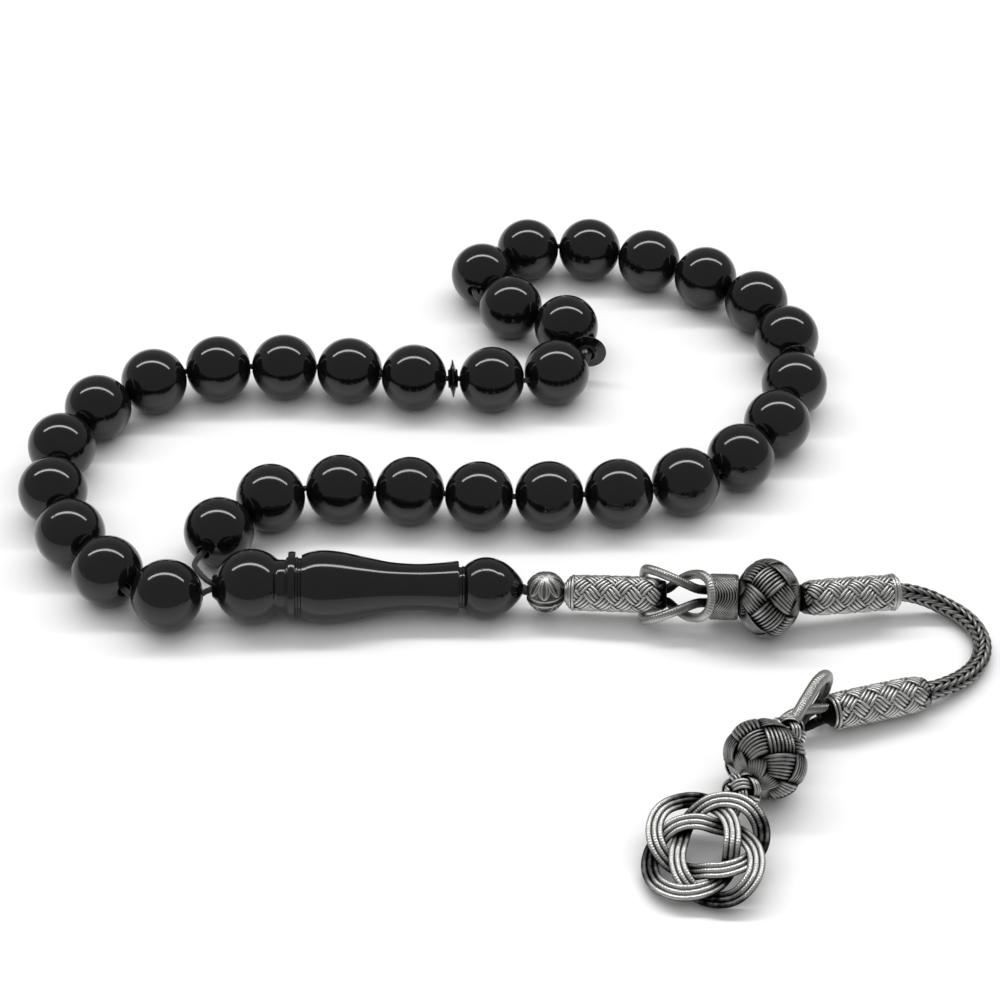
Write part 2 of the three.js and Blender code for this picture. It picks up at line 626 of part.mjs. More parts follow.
// The knot's wire ends run up through the lower collar into the ball, as a short stem.
function makeClover() {
  const flatten = CLOVER_WIRE / CLOVER_BAND;
  const lift = (CLOVER_WIRE + GAP) / 2 + 0.15;
  const knot = new THREE.TubeGeometry(new Clover(lift / flatten), 96, CLOVER_BAND / 2, 6, true);
  knot.rotateZ(THREE.MathUtils.degToRad(CLOVER_TURN)).scale(1, 1, flatten);
  const group = aimed(CLOVER_CENTRE, CLOVER_CENTRE.clone().add(cloverDirection));
  group.rotateY(THREE.MathUtils.degToRad(CLOVER_TILT));
  group.updateMatrixWorld(true);
  const intoBall = group.worldToLocal(onLowerCollar(BALL_B_LENGTH / 2 - 1).clone());
  const pastCollar = group.worldToLocal(onLowerCollar(LOWER_COLLAR_END + 0.5).clone());
  const meet = new THREE.Vector3(-CLOVER_WIDTH / 2 + CLOVER_BAND - 0.2, 0.6, 0.3);
  const path = [intoBall, pastCollar, meet];
  const stem = toSolid(rod(path, STEM_DIAMETER, 6, 6));
  add('clover_pendant', toGeometry(toSolid(knot).add(stem)), silver(), group);
}

makeLeader();
makeThread();
makeBeads();
makeDiscs();
makeTailThread();
makeCap();
makeSleeves();
makeLinkedLoops();
makeNeck();
makeBall('ball_a', BALL_A_CENTRE, onHead(headLength + 1), BALL_A_DIAMETER, BALL_A_LENGTH);
makeChain();
makeDropLoops();
makeUpperCollar();
makeBall('ball_b', BALL_B_CENTRE, BALL_B_CENTRE.clone().add(dropDirection), BALL_B_DIAMETER,
  BALL_B_LENGTH);
makeLowerCollar();
makeClover();

// The origin is the middle of the footprint, on the surface that the beads lie on.
object.updateMatrixWorld(true);
const box = new THREE.Box3().setFromObject(object, true);
object.position.set(-(box.min.x + box.max.x) / 2, -(box.min.y + box.max.y) / 2, -box.min.z);

export default object;
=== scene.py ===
# %% [markdown]
# A misbaha, built as it is put together at the bench: a string of polished black stone beads,
# a turned leader bead that closes the string, and a tassel woven from oxidised silver wire.
# The imported model is the frame. Every piece below is made around it, and most ride on its
# bodies.

# %% Load the frame
import json
import math
import bmesh
import bpy
import numpy as np
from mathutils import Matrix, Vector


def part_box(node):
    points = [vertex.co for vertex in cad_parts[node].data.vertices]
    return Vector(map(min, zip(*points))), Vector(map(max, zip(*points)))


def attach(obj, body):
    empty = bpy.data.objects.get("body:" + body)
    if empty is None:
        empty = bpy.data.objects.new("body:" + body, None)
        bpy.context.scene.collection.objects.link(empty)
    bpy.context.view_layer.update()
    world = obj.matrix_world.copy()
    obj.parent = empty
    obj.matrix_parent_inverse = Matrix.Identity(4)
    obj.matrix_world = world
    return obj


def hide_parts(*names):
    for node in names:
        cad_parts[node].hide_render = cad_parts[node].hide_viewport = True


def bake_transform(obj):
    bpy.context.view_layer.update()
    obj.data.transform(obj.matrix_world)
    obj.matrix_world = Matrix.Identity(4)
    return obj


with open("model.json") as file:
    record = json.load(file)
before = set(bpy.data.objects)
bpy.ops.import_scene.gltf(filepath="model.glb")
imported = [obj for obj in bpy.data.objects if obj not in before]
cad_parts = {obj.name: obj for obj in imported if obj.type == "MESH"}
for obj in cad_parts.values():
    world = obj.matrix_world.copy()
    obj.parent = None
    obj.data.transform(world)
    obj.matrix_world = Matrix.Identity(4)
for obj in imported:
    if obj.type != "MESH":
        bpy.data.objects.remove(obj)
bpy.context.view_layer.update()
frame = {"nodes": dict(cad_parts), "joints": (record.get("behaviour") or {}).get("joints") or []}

# %% [markdown]
# All shapes are worked out in millimetres, because wire and beads are measured in them, and
# turned to metres once, when a mesh is made. The layout's own origin differs from the frame's,
# so one shift, read from the middle of a piece in the frame, carries every chosen point over.

# %% Units and places
MM = 0.001


def middle(*nodes):
    """Centre of the box round some CAD nodes, in millimetres."""
    boxes = [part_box(node) for node in nodes]
    low = np.min([box[0] for box in boxes], axis=0)
    high = np.max([box[1] for box in boxes], axis=0)
    return (low + high) / 2 / MM


CAP_CENTRE = middle("cap_bead_upper", "cap_bead_lower")
BALL_A_CENTRE = middle("ball_a_core")
BALL_B_CENTRE = middle("ball_b_core")
SHIFT = BALL_B_CENTRE - np.array([35.0, -48.5, 5.6])


def spot(x, y, z):
    """A chosen place of the layout, in the frame."""
    return np.array([x, y, z], float) + SHIFT


print("shift of the layout, mm", np.round(SHIFT, 3))

# %% [markdown]
# The camera looks down at the beads from the front, as somebody seated at the table does. The
# lens is long, so that the round beads stay round at the edges of the picture.

# %% Camera
CAMERA_PLACE = spot(0.95, -271.4, 239.0)
CAMERA_DIP = 40.4  # degrees below the horizon
LENS_MM = 89.95


def new_object(name, data):
    made = bpy.data.objects.new(name, data)
    bpy.context.scene.collection.objects.link(made)
    return made


camera = new_object("camera", bpy.data.cameras.new("camera"))
camera.location = CAMERA_PLACE * MM
camera.rotation_euler = (math.radians(90 - CAMERA_DIP), 0, 0)
camera.data.lens = LENS_MM
camera.data.clip_start = 0.01
bpy.context.scene.camera = camera
print("camera", np.round(CAMERA_PLACE), "mm")

# %% [markdown]
# Nearly everything here is a line with thickness: thread, wire, plait. One function draws a
# smooth line through chosen points, and one sweeps a round section along a line. The sweep
# also stores two numbers on each point: how far along the wire it is, and how exposed it is
# to rubbing, with painted shade added to that in some places. The metal's finish is painted
# from those numbers.

# %% Lines
def unit(v):
    v = np.asarray(v, float)
    return v / np.maximum(np.linalg.norm(v, axis=-1, keepdims=True), 1e-9)


def smooth_line(points, per_span=12):
    """A centripetal Catmull-Rom line through the points."""
    p = np.array(points, float)
    p = np.vstack([2 * p[0] - p[1], p, 2 * p[-1] - p[-2]])
    s = np.linspace(0, 1, per_span, endpoint=False)[:, None]
    spans = []
    for a, b, c, d in zip(p, p[1:], p[2:], p[3:]):
        t0, t1, t2 = (max(np.linalg.norm(v), 1e-6) ** 0.5 for v in (b - a, c - b, d - c))
        leave = ((b - a) / t0 - (c - a) / (t0 + t1) + (c - b) / t1) * t1
        arrive = ((c - b) / t1 - (d - b) / (t1 + t2) + (d - c) / t2) * t1
        spans.append((2 * s**3 - 3 * s**2 + 1) * b + (s**3 - 2 * s**2 + s) * leave
                     + (3 * s**2 - 2 * s**3) * c + (s**3 - s**2) * arrive)
    return np.vstack([*spans, p[-2:-1]])


def tangents(line, closed):
    if closed:
        return unit(np.roll(line, -1, axis=0) - np.roll(line, 1, axis=0))
    return unit(np.gradient(line, axis=0))


def carried_normals(line, closed):
    """Normals carried along a line without twisting."""
    along = tangents(line, closed)
    start = np.cross(along[0], [0, 0, 1.0])
    if np.linalg.norm(start) < 0.1:
        start = np.cross(along[0], [0, 1.0, 0])
    normals = [unit(np.cross(start, along[0]))]
    for direction in along[1:]:
        normals.append(unit(normals[-1] - direction * np.dot(normals[-1], direction)))
    return np.array(normals)


def distances(line):
    """How far along the line each of its points lies."""
    return np.concatenate([[0], np.cumsum(np.linalg.norm(np.diff(line, axis=0), axis=1))])


def line_length(line):
    return float(np.linalg.norm(np.diff(line, axis=0), axis=1).sum())


print("a quarter turn of radius 10 measures",
      round(line_length(smooth_line([[10, 0, 0], [7.07, 7.07, 0], [0, 10, 0]])), 2))

# %% Meshes from swept lines
class Pile:
    """Points and faces of many wires, gathered into one mesh."""

    def __init__(self):
        self.points, self.faces, self.rub, self.along, self.count = [], [], [], [], 0

    def add(self, points, faces, rub, along):
        self.points.append(points)
        self.faces.extend((np.asarray(faces) + self.count).tolist())
        self.rub.append(np.broadcast_to(rub, len(points)))
        self.along.append(np.broadcast_to(along, len(points)))
        self.count += len(points)

    def sweep(self, line, radius, sides=8, normals=None, closed=False, rub=None, lobes=0,
              twist=0.0):
        """A round wire along a line. Lobes and twist, turns per mm, lay up a plied thread."""
        line = np.asarray(line, float)
        n = len(line)
        along = tangents(line, closed)
        outward = carried_normals(line, closed) if normals is None else normals
        side = unit(np.cross(along, outward))
        outward = np.cross(side, along)
        run = distances(line)
        angle = np.linspace(0, 2 * np.pi, sides, endpoint=False)
        size = np.broadcast_to(radius, n)[:, None] * np.ones(sides)
        if lobes:
            size = size * (1 - 0.16 * (1 - np.cos(lobes * angle - 2 * np.pi * twist
                                                  * run[:, None])) / 2)
        ring = (line[:, None] + size[..., None] * (np.cos(angle)[:, None] * outward[:, None]
                                                   + np.sin(angle)[:, None] * side[:, None]))
        here = np.arange(n if closed else n - 1)[:, None] * sides
        after = (here + sides) % (n * sides)
        turn = np.arange(sides)
        turned = (turn + 1) % sides
        faces = np.stack([here + turn, here + turned, after + turned, after + turn], axis=-1)
        crown = np.broadcast_to(np.cos(angle), (n, sides))
        wear_and_shade = crown if rub is None else crown * np.asarray(rub)[:, None]
        self.add(ring.reshape(-1, 3), faces.reshape(-1, 4), wear_and_shade.ravel(), np.repeat(run, sides))
        if not closed:
            self.close_end(line[0], self.count - n * sides, sides, True)
            self.close_end(line[-1], self.count - sides - 1, sides, False)

    def close_end(self, centre, first, sides, start):
        """A fan that closes one end of a wire."""
        ring = first + np.arange(sides)
        hub = self.count
        self.add(np.array([centre]), np.empty((0, 3), int), 0.0, 0.0)
        for a, b in zip(ring, np.roll(ring, -1)):
            self.faces.append([hub, int(b), int(a)] if start else [hub, int(a), int(b)])

    def lathe(self, outline, sides, rub):
        """Spins a closed (x, r) outline round the pile's own X."""
        x, r = np.array(outline).T
        angle = np.linspace(0, 2 * np.pi, sides, endpoint=False)[:, None]
        spun = np.stack([np.broadcast_to(x, (sides, len(x))), r * np.cos(angle),
                         r * np.sin(angle)], axis=-1)
        here = np.arange(sides)[:, None] * len(x) + np.arange(len(x))
        after = np.roll(here, -1, axis=1)
        faces = np.stack([here, after, np.roll(after, -1, axis=0), np.roll(here, -1, axis=0)], -1)
        self.add(spun.reshape(-1, 3), faces.reshape(-1, 4), rub, 0.0)

    def set_down(self, origin, axes):
        """Carries what was made along the pile's own X to its place."""
        self.points = [points @ axes + origin for points in self.points]

    def build(self, name, material, body=None, slot=None, replaces=()):
        """Makes the mesh, with its two painted numbers, and lets it ride on its body."""
        mesh = bpy.data.meshes.new(name)
        mesh.from_pydata((np.vstack(self.points) * MM).tolist(), [], self.faces)
        for key, values in (("rub", self.rub), ("along", self.along)):
            layer = mesh.attributes.new(key, "FLOAT", "POINT")
            layer.data.foreach_set("value", np.concatenate(values).astype(np.float32))
        face_outward(mesh)
        return finished(name, mesh, material, body, slot, replaces)


def face_outward(mesh):
    work = bmesh.new()
    work.from_mesh(mesh)
    bmesh.ops.recalc_face_normals(work, faces=work.faces)
    for face in work.faces:
        face.smooth = True
    work.to_mesh(mesh)
    work.free()


def finished(name, mesh, material, body, slot, replaces):
    piece = new_object(name, mesh)
    mesh.materials.append(material)
    if body:
        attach(piece, body)
    if replaces:
        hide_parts(*replaces)
    return piece


print("sweeping is ready")

# %% [markdown]
# Colours are picked as the eye sees them, as hex values, and the renderer wants them linear,
# so one function turns them over. One more adds a shader node with its settings and links.

# %% Colour and node helpers
def colour(hex_value):
    """sRGB hex to linear RGBA."""
    parts = [int(hex_value[i:i + 2], 16) / 255 for i in (1, 3, 5)]
    return [p / 12.92 if p <= 0.04045 else ((p + 0.055) / 1.055) ** 2.4 for p in parts] + [1.0]


def add_node(tree, kind, sockets=None, **settings):
    """Adds a node, sets its properties, and sets or links its sockets."""
    made = tree.nodes.new(kind)
    for key, value in settings.items():
        setattr(made, key, value)
    for key, value in (sockets or {}).items():
        if isinstance(value, bpy.types.NodeSocket):
            tree.links.new(value, made.inputs[key])
        else:
            made.inputs[key].default_value = value
    return made


def new_material(name, **shader):
    """A material with its Principled shader set, returned with the tree and the shader."""
    material = bpy.data.materials.new(name)
    material.use_nodes = True
    tree = material.node_tree
    principled = tree.nodes["Principled BSDF"]
    for key, value in shader.items():
        principled.inputs[key.replace("_", " ")].default_value = value
    return material, tree, principled


def object_place(tree):
    return add_node(tree, "ShaderNodeTexCoord").outputs["Object"]


def paint(tree, shader, share, dark, light):
    """Gives the shader a colour between dark and light, by a share from another node."""
    tint = add_node(tree, "ShaderNodeMix", {0: share, 6: colour(dark), 7: colour(light)},
                    data_type="RGBA")
    tree.links.new(tint.outputs[2], shader.inputs["Base Color"])


def emboss(tree, shader, height, strength, depth_mm):
    bump = add_node(tree, "ShaderNodeBump", {"Height": height, "Strength": strength,
                                             "Distance": depth_mm * MM})
    tree.links.new(bump.outputs[0], shader.inputs["Normal"])


def polish(tree, shader, share, start, end):
    """Lets the roughness run from start to end with a share from another node."""
    gloss = add_node(tree, "ShaderNodeMapRange", {"Value": share, "To Min": start,
                                                  "To Max": end})
    tree.links.new(gloss.outputs[0], shader.inputs["Roughness"])


print("mid grey is", round(colour("#808080")[0], 3), "in linear light")

# %% [markdown]
# The beads are black stone, most likely jet or onyx, turned round and then polished on felt
# until the surface is a mirror. The IOR is close to onyx, the lower of the two. What the eye
# sees is almost only reflection: a thin bright line of lamp, and the pale table below.
# A fine haze left by the polishing wheel and a few pin-sized pits keep it from being glass.

# %% Polished black stone
def polished_stone():
    haze_mm, pit_mm = 2.5, 3.4
    material, tree, shader = new_material("polished_black_stone", IOR=1.52)
    place = object_place(tree)
    haze = add_node(tree, "ShaderNodeTexNoise",
                    {"Vector": place, "Scale": 1 / (haze_mm * MM), "Detail": 4.0})
    paint(tree, shader, haze.outputs["Fac"], "#08080a", "#101012")
    polish(tree, shader, haze.outputs["Fac"], 0.06, 0.13)
    cells = add_node(tree, "ShaderNodeTexVoronoi", {"Vector": place, "Scale": 1 / (pit_mm * MM)})
    pit = add_node(tree, "ShaderNodeMapRange", {"Value": cells.outputs["Distance"],
                                                "From Min": 0.02, "From Max": 0.05})
    emboss(tree, shader, pit.outputs[0], 0.5, 0.05)
    return material


STONE = polished_stone()
print(STONE.name)

# %% [markdown]
# The cord is black nylon or silk, three fine plies twisted together and waxed. The plies are
# in the mesh, so the material only adds the soft fuzz of fibres.

# %% Waxed black thread
def waxed_thread():
    fibre_mm = 0.12
    material, tree, shader = new_material("waxed_black_thread", IOR=1.5, Roughness=0.62,
                                          Sheen_Weight=0.25, Sheen_Roughness=0.5)
    place = object_place(tree)
    fibres = add_node(tree, "ShaderNodeTexNoise",
                      {"Vector": place, "Scale": 1 / (fibre_mm * MM), "Detail": 2.0})
    paint(tree, shader, fibres.outputs["Fac"], "#0c0c0d", "#232324")
    emboss(tree, shader, fibres.outputs["Fac"], 0.4, 0.04)
    return material


THREAD = waxed_thread()
print(THREAD.name)

# %% [markdown]
# The tassel is fine silver wire, itself wrapped with a thinner wire, woven by hand and then
# blackened with sulphur and rubbed back. Black stays in every groove and the crowns come out
# bright. The mesh says where the crowns are, a blotchy noise breaks that up, and the wrapping
# shows as ridges across the wire. The same mesh number also carries painted shade: dark
# linings under the weave, the sleeves' drawn-in ends, and the loops where they lie low or near
# the tassel's axis. Real wrapping is about 0.1 mm; here it is drawn coarser.

# %% Oxidised silver wire
def oxidised_silver(name, dark, bright, low, high, wrap_mm=0.26, wrap_depth=0.35):
    """Low and high are the painted rub and shade at which the metal is still black and fully
    bright.
    """
    blotch_mm = 1.3
    material, tree, shader = new_material(name, Metallic=1.0)
    place = object_place(tree)
    # This mesh number is real rubbing on the crowns, with painted shade where the mesh sets it
    # low.
    rub = add_node(tree, "ShaderNodeAttribute", attribute_name="rub").outputs["Fac"]
    along = add_node(tree, "ShaderNodeAttribute", attribute_name="along").outputs["Fac"]
    blotch = add_node(tree, "ShaderNodeTexNoise",
                      {"Vector": place, "Scale": 1 / (blotch_mm * MM), "Detail": 5.0})
    uneven = add_node(tree, "ShaderNodeMath", {0: blotch.outputs["Fac"], 1: 0.7, 2: -0.35},
                      operation="MULTIPLY_ADD")
    wear_and_shade = add_node(tree, "ShaderNodeMath", {0: rub, 1: uneven.outputs[0]}, operation="ADD")
    mask = add_node(tree, "ShaderNodeMapRange", {"Value": wear_and_shade.outputs[0], "From Min": low,
                                                 "From Max": high})
    paint(tree, shader, mask.outputs[0], dark, bright)
    polish(tree, shader, mask.outputs[0], 0.52, 0.3)
    phase = add_node(tree, "ShaderNodeMath", {0: along, 1: 2 * math.pi / wrap_mm},
                     operation="MULTIPLY")
    ridge = add_node(tree, "ShaderNodeMath", {0: phase.outputs[0]}, operation="SINE")
    emboss(tree, shader, ridge.outputs[0], wrap_depth, 0.02)
    return material


WOVEN = oxidised_silver("oxidised_silver_weave", "#101011", "#d6d6d3", 0.05, 0.8)
WRAPPED = oxidised_silver("oxidised_silver_wrapped_wire", "#1e1e1f", "#c0c0bd", 0.05, 1.15,
                          wrap_mm=0.36, wrap_depth=1.0)
DARK_WOVEN = oxidised_silver("oxidised_silver_dark_weave", "#0f0f10", "#b4b4b2", 0.42, 1.02)
PLAITED = oxidised_silver("oxidised_silver_plait", "#1c1c1d", "#a8a8a6", 0.2, 1.05,
                          wrap_depth=0.0)
STAMPED = oxidised_silver("oxidised_silver_stamped", "#303030", "#c4c4c1", 0.15, 0.9,
                          wrap_depth=0.0)
KNOTTED = oxidised_silver("oxidised_silver_knotted_wire", "#161617", "#e2e2df", 0.15, 1.0,
                          wrap_mm=0.36, wrap_depth=0.8)
print("silver finishes",
      [m.name for m in (WOVEN, WRAPPED, DARK_WOVEN, PLAITED, STAMPED, KNOTTED)])

# %% [markdown]
# Each bead turns on the thread by itself, so its joint in the frame gives its centre and the
# line of its hole. The string is read from there and never typed in again.

# %% Where the beads are
joints = {joint["name"]: joint for joint in frame["joints"]}
BEAD_COUNT = sum(name.startswith("bead_") for name in joints)
BEAD_RADIUS = 5.0  # a touch over the frame's, so that neighbours nearly meet
HOLE_RADIUS = 1.8 / 2


def bead_place(number):
    """A bead's node name, its centre and the direction of its hole."""
    name = f"bead_{number:02d}"
    joint = joints.get(f"{name}_spin") or joints[f"{name}_slide"]
    return name, middle(name), unit(joint["axis"])


beads = [bead_place(number) for number in range(1, BEAD_COUNT + 1)]
print("beads", BEAD_COUNT, "first at", np.round(beads[0][1], 1), "mm")

# %% [markdown]
# The thread is one length: out of the leader's nose, through all the beads, and back into the
# nose beside itself. Inside a bead it runs along the hole, and between beads it bends. Only
# short pieces show, but it is made whole, because a string that stops inside a bead would
# leave the hole empty from the side.

# %% The leader's axis
LEADER_NOSE = spot(-38.9, -15.5, 5.6)
LEADER_LENGTH = 43.1
LEADER_HEADING = math.radians(1.7)
LEADER_FALL = (10.1 - 8.5) / 2 / (38 - 15.7)  # it rests on its belly and its tail ball
LEADER_AXIS = unit([math.cos(LEADER_HEADING), math.sin(LEADER_HEADING), -LEADER_FALL])


def in_leader(station, side=0.0):
    """A point inside the leader, a distance from its nose and to one side."""
    return LEADER_NOSE + station * LEADER_AXIS + np.array([0, side, 0])


print("leader's tail at", np.round(in_leader(LEADER_LENGTH), 1), "mm")

# %% The string thread
THREAD_RADIUS = 0.45
RUNS_APART = 0.55
GAP = 0.25


def thread_route():
    points = [in_leader(station, -RUNS_APART) for station in (LEADER_LENGTH - 2.5, 24, 8, 0.2)]
    for name, centre, hole in beads:
        mouth = hole * (BEAD_RADIUS - 0.4)
        points += [centre - mouth, centre, centre + mouth]
    last, hole = beads[-1][1], beads[-1][2]
    leave = last + hole * (BEAD_RADIUS + 2.4)
    arrive = in_leader(-0.7) + np.array([0, 1, 0])
    points += [leave, leave + 0.55 * (arrive - leave) + np.array([-0.3, 0, 0]), arrive]
    points += [in_leader(station, RUNS_APART) for station in (0, 8, 24, LEADER_LENGTH - 2.5)]
    return points


route = smooth_line(thread_route(), 8)
string = Pile()
string.sweep(route, THREAD_RADIUS, sides=12, lobes=3, twist=0.8)
string = string.build("strand_thread_plied", THREAD, "leader", "black_thread",
                      ["strand_thread"])
print("thread", round(line_length(route), 1), "mm")

# %% [markdown]
# The plaited chain lies free between two sleeves, in an easy bend that rests on the table. It
# is a foxtail: rings folded over each other, each a V on all four faces. A ring is drawn
# closed round the line of the chain, running back at the middle of a face and forward at the
# corners, and the next follows a chevron further on.

# %% The foxtail chain
CHAIN_POINTS = [
    (53.6, -15.8, 4.5), (56.1, -15.3, 4.3), (58.2, -15.0, 3.7), (60.6, -15.0, 2.8),
    (63.0, -15.7, 1.9), (65.2, -17.3, 1.5), (66.7, -19.7, 1.4), (67.2, -22.5, 1.4),
    (66.7, -25.2, 1.4), (65.3, -27.8, 1.5), (63.0, -30.2, 1.8), (60.4, -32.1, 2.3),
    (57.9, -33.4, 2.7), (55.5, -34.2, 2.8),
]
CHEVRON_MM = 1.3
CHAIN_WIRE = 0.29


def foxtail(line):
    pile = Pile()
    along = tangents(line, False)
    normals = carried_normals(line, False)
    run = distances(line)

    def at(distance, table):
        return np.stack([np.interp(distance, run, table[:, i]) for i in range(3)], axis=1)

    # A core inside the rings, its upper side painted black: painted shade seen between the rings.
    pile.sweep(line, 0.8, sides=8, rub=np.full(len(line), -1.0))
    angle = np.linspace(0, 2 * np.pi, 40, endpoint=False)
    corner = (1 - np.cos(4 * angle)) / 2
    reach = 1.0 + 0.14 * corner
    for start in np.arange(1.2, run[-1] - 1.2, CHEVRON_MM):
        s = start + 1.9 * (corner - 0.5)
        up = unit(at(s, normals))
        out = np.cos(angle)[:, None] * up + np.sin(angle)[:, None] * np.cross(at(s, along), up)
        ring = at(s, line) + (reach - 0.28 * corner**4)[:, None] * out
        pile.sweep(ring, CHAIN_WIRE, sides=7, normals=out, closed=True,
                   rub=1 - 0.6 * corner**3)
    return pile


chain_line = smooth_line([spot(*p) for p in CHAIN_POINTS], 10)
chain = foxtail(chain_line).build("foxtail_chain_plaited", PLAITED, None, "oxidised_silver",
                                  ["foxtail_chain"])
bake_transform(chain)
print("chain", round(line_length(chain_line), 1), "mm,", len(chain.data.polygons), "faces")

# %% [markdown]
# Beads, discs and the leader are turned on a lathe, so each is an outline spun round its own
# axis. Edges get a tiny round, because a real edge is never perfectly sharp and that round is
# what catches the light.

# %% Turning
def axes_along(direction, roll=0.0):
    """Rows are a piece's own X, Y and Z, with X along the direction, rolled by degrees."""
    x = unit(direction)
    y = unit([-x[1], x[0], 0])
    z = np.cross(x, y)
    c, s = math.cos(math.radians(roll)), math.sin(math.radians(roll))
    return np.array([x, c * y + s * z, c * z - s * y])


def arc(centre, radius, start, end, steps):
    """Points (x, r) on an arc, angles in degrees from the axis."""
    angle = np.radians(np.linspace(start, end, steps))
    return [(centre[0] - radius * math.cos(a), centre[1] + radius * math.sin(a)) for a in angle]


def turn(name, outline, origin, axes, material, body, slot, replaces, sides=96):
    """A turned piece: its closed (x, r) outline, spun and set in place."""
    pile = Pile()
    pile.lathe(outline, sides, 1.0)
    pile.set_down(origin, axes)
    return pile.build(name, material, body, slot, replaces)


def softened(outline, radius=0.12, sharp=28):
    """Rounds each corner of an open outline that turns by more than sharp degrees."""
    p = np.array(outline, float)
    soft = [p[0]]
    for before, here, after in zip(p, p[1:], p[2:]):
        a, b = unit(before - here), unit(after - here)
        bend = 180 - math.degrees(math.acos(np.clip(np.dot(a, b), -1, 1)))
        cut = min(radius, 0.4 * np.linalg.norm(before - here), 0.4 * np.linalg.norm(after - here))
        if bend > sharp:
            start, end = here + cut * a, here + cut * b
            t = np.linspace(0, 1, 5)[:, None]
            soft.extend((1 - t)**2 * start + 2 * t * (1 - t) * here + t**2 * end)
        else:
            soft.append(here)
    return [*soft, p[-1]]


print("a square corner becomes", len(softened([(0, 0), (1, 0), (1, 1)])) - 2, "points")

# %% The beads
def bead_outline():
    """A ball with a drilled hole and a small countersink at each mouth."""
    mouth = HOLE_RADIUS + 0.12
    start = math.degrees(math.asin(mouth / BEAD_RADIUS))
    ball = arc((0, 0), BEAD_RADIUS, start, 180 - start, 56)
    inside = ball[0][0] + 0.22
    return [(inside, HOLE_RADIUS), *softened([(inside, HOLE_RADIUS), *ball,
                                              (-inside, HOLE_RADIUS)], 0.1)[1:]]


for name, centre, hole in beads:
    turn(f"{name}_polished", bead_outline(), centre, axes_along(hole), STONE, name,
         "black_stone", [name], sides=80)
print("beads turned", len(beads))

# %% [markdown]
# Three thin discs mark the sets of eleven. Each is a lens with a sharp rim and a low boss at
# the hole, where it bears on its neighbours.

# %% The marker discs
DISC_RADIUS = 5.8 / 2
DISC_HALF = 1.5 / 2
for number in (1, 2, 3):
    name = f"marker_disc_{number}"
    rim = [(-DISC_HALF, HOLE_RADIUS), (-DISC_HALF, HOLE_RADIUS + 0.45),
           (-0.62 * DISC_HALF, HOLE_RADIUS + 0.62), (-0.12 * DISC_HALF, DISC_RADIUS)]
    outline = softened([*rim, *[(-x, r) for x, r in reversed(rim)]], 0.08)
    turn(name + "_turned", outline, middle(name), axes_along(joints[f"{name}_spin"]["axis"]),
         STONE, name, "black_stone", [name], sides=72)
print("discs turned 3")

# %% [markdown]
# The leader is the long turned bead that stands for the minaret: a ball with a pointed nose,
# a thin collar between two short necks, a belly that draws in to a waist and flares to a lip,
# and a small ball with a drawn-out tip where the tassel's thread leaves.

# %% The leader
def leader_outline():
    bore = 1.35
    nose = arc((5.4, 0), 5.2, 24, 133, 24)
    tail = arc((38, 0), 4.25, 43, 108, 18)
    tip = smooth_line([(39.31, 4.04), (40.4, 3.6), (41.4, 2.9), (42.25, 2.05),
                       (42.8, 1.35), (LEADER_LENGTH, 0.82)], 5)[1:].tolist()
    narrow = 0.62  # the bore's last stretch, just wide enough for the twisted ends
    belly = smooth_line([(12.5, 4.45), (13.2, 4.72), (14.2, 4.97), (15.7, 5.05),
                         (17.8, 4.85), (21.5, 4.1), (24.7, 3.48), (28.5, 3.25),
                         (31.3, 3.41), (33.9, 3.7)], 5).tolist()
    outline = [(0, bore), (0, bore + 0.2), *nose, (9.2, 3.72), (10.15, 3.72), (10.2, 4.05),
               (10.45, 4.05), (10.5, 4.8), (11.05, 4.87), (11.5, 4.8), (11.55, 4.1),
               (11.85, 4.1), (11.9, 3.95), (12.3, 3.95), (12.35, 4.4), *belly, (34.12, 3.66),
               (34.15, 2.85), (34.55, 2.85), (34.6, 2.98), (34.85, 2.98), *tail,
               *tip, (LEADER_LENGTH, narrow), (LEADER_LENGTH - 2.3, narrow),
               (LEADER_LENGTH - 2.4, bore)]
    return softened(outline, 0.1, 24)


turn("leader_turned", leader_outline(), LEADER_NOSE, axes_along(LEADER_AXIS), STONE, "leader",
     "black_stone", ["leader"], sides=128)
print("leader turned,", LEADER_LENGTH, "mm long")

# %% [markdown]
# The thread's two ends leave the leader's tail twisted together and end in a knot inside the
# first silver bead. This stretch crosses where the tassel swings, and rides on neither body.

# %% The tail thread and its knot
HEAD_AXIS = unit(BALL_A_CENTRE - CAP_CENTRE)
KNOT_REACH = 1.3 + GAP


def on_head(station):
    return CAP_CENTRE + station * HEAD_AXIS


tail_points = [in_leader(LEADER_LENGTH - 2.1), in_leader(LEADER_LENGTH + 0.2),
               on_head(-2.9), on_head(-KNOT_REACH)]
tail = Pile()
tail.sweep(smooth_line(tail_points, 10), 0.54, sides=12, lobes=2, twist=0.5)
tail = tail.build("tail_thread_twisted", THREAD, None, "black_thread", ["tail_thread"])
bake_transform(tail)

turns = np.linspace(0, 2 * np.pi, 72, endpoint=False)
trefoil = np.stack([0.27 * np.sin(3 * turns), 0.27 * (np.sin(turns) + 2 * np.sin(2 * turns)),
                    0.27 * (np.cos(turns) - 2 * np.cos(2 * turns))], axis=1)
knot = Pile()
knot.sweep(trefoil @ axes_along(HEAD_AXIS) + CAP_CENTRE, 0.42, sides=8, closed=True, lobes=3,
           twist=0.8)
knot.build("thread_knot_tied", THREAD, "tassel_head", "black_thread", ["thread_knot"])
print("tail thread", round(line_length(smooth_line(tail_points)), 1), "mm")

# %% [markdown]
# The first silver bead is two thin cups, stamped in a die and brought together with a seam.
# The die leaves raised lines: pointed petals round the top, and a band of small arches under
# the seam. The lines are pushed out of the mesh itself, and they are also what gets rubbed.

# %% The stamped bead
CAP_RADIUS = 2.9
CAP_WALL = 0.5


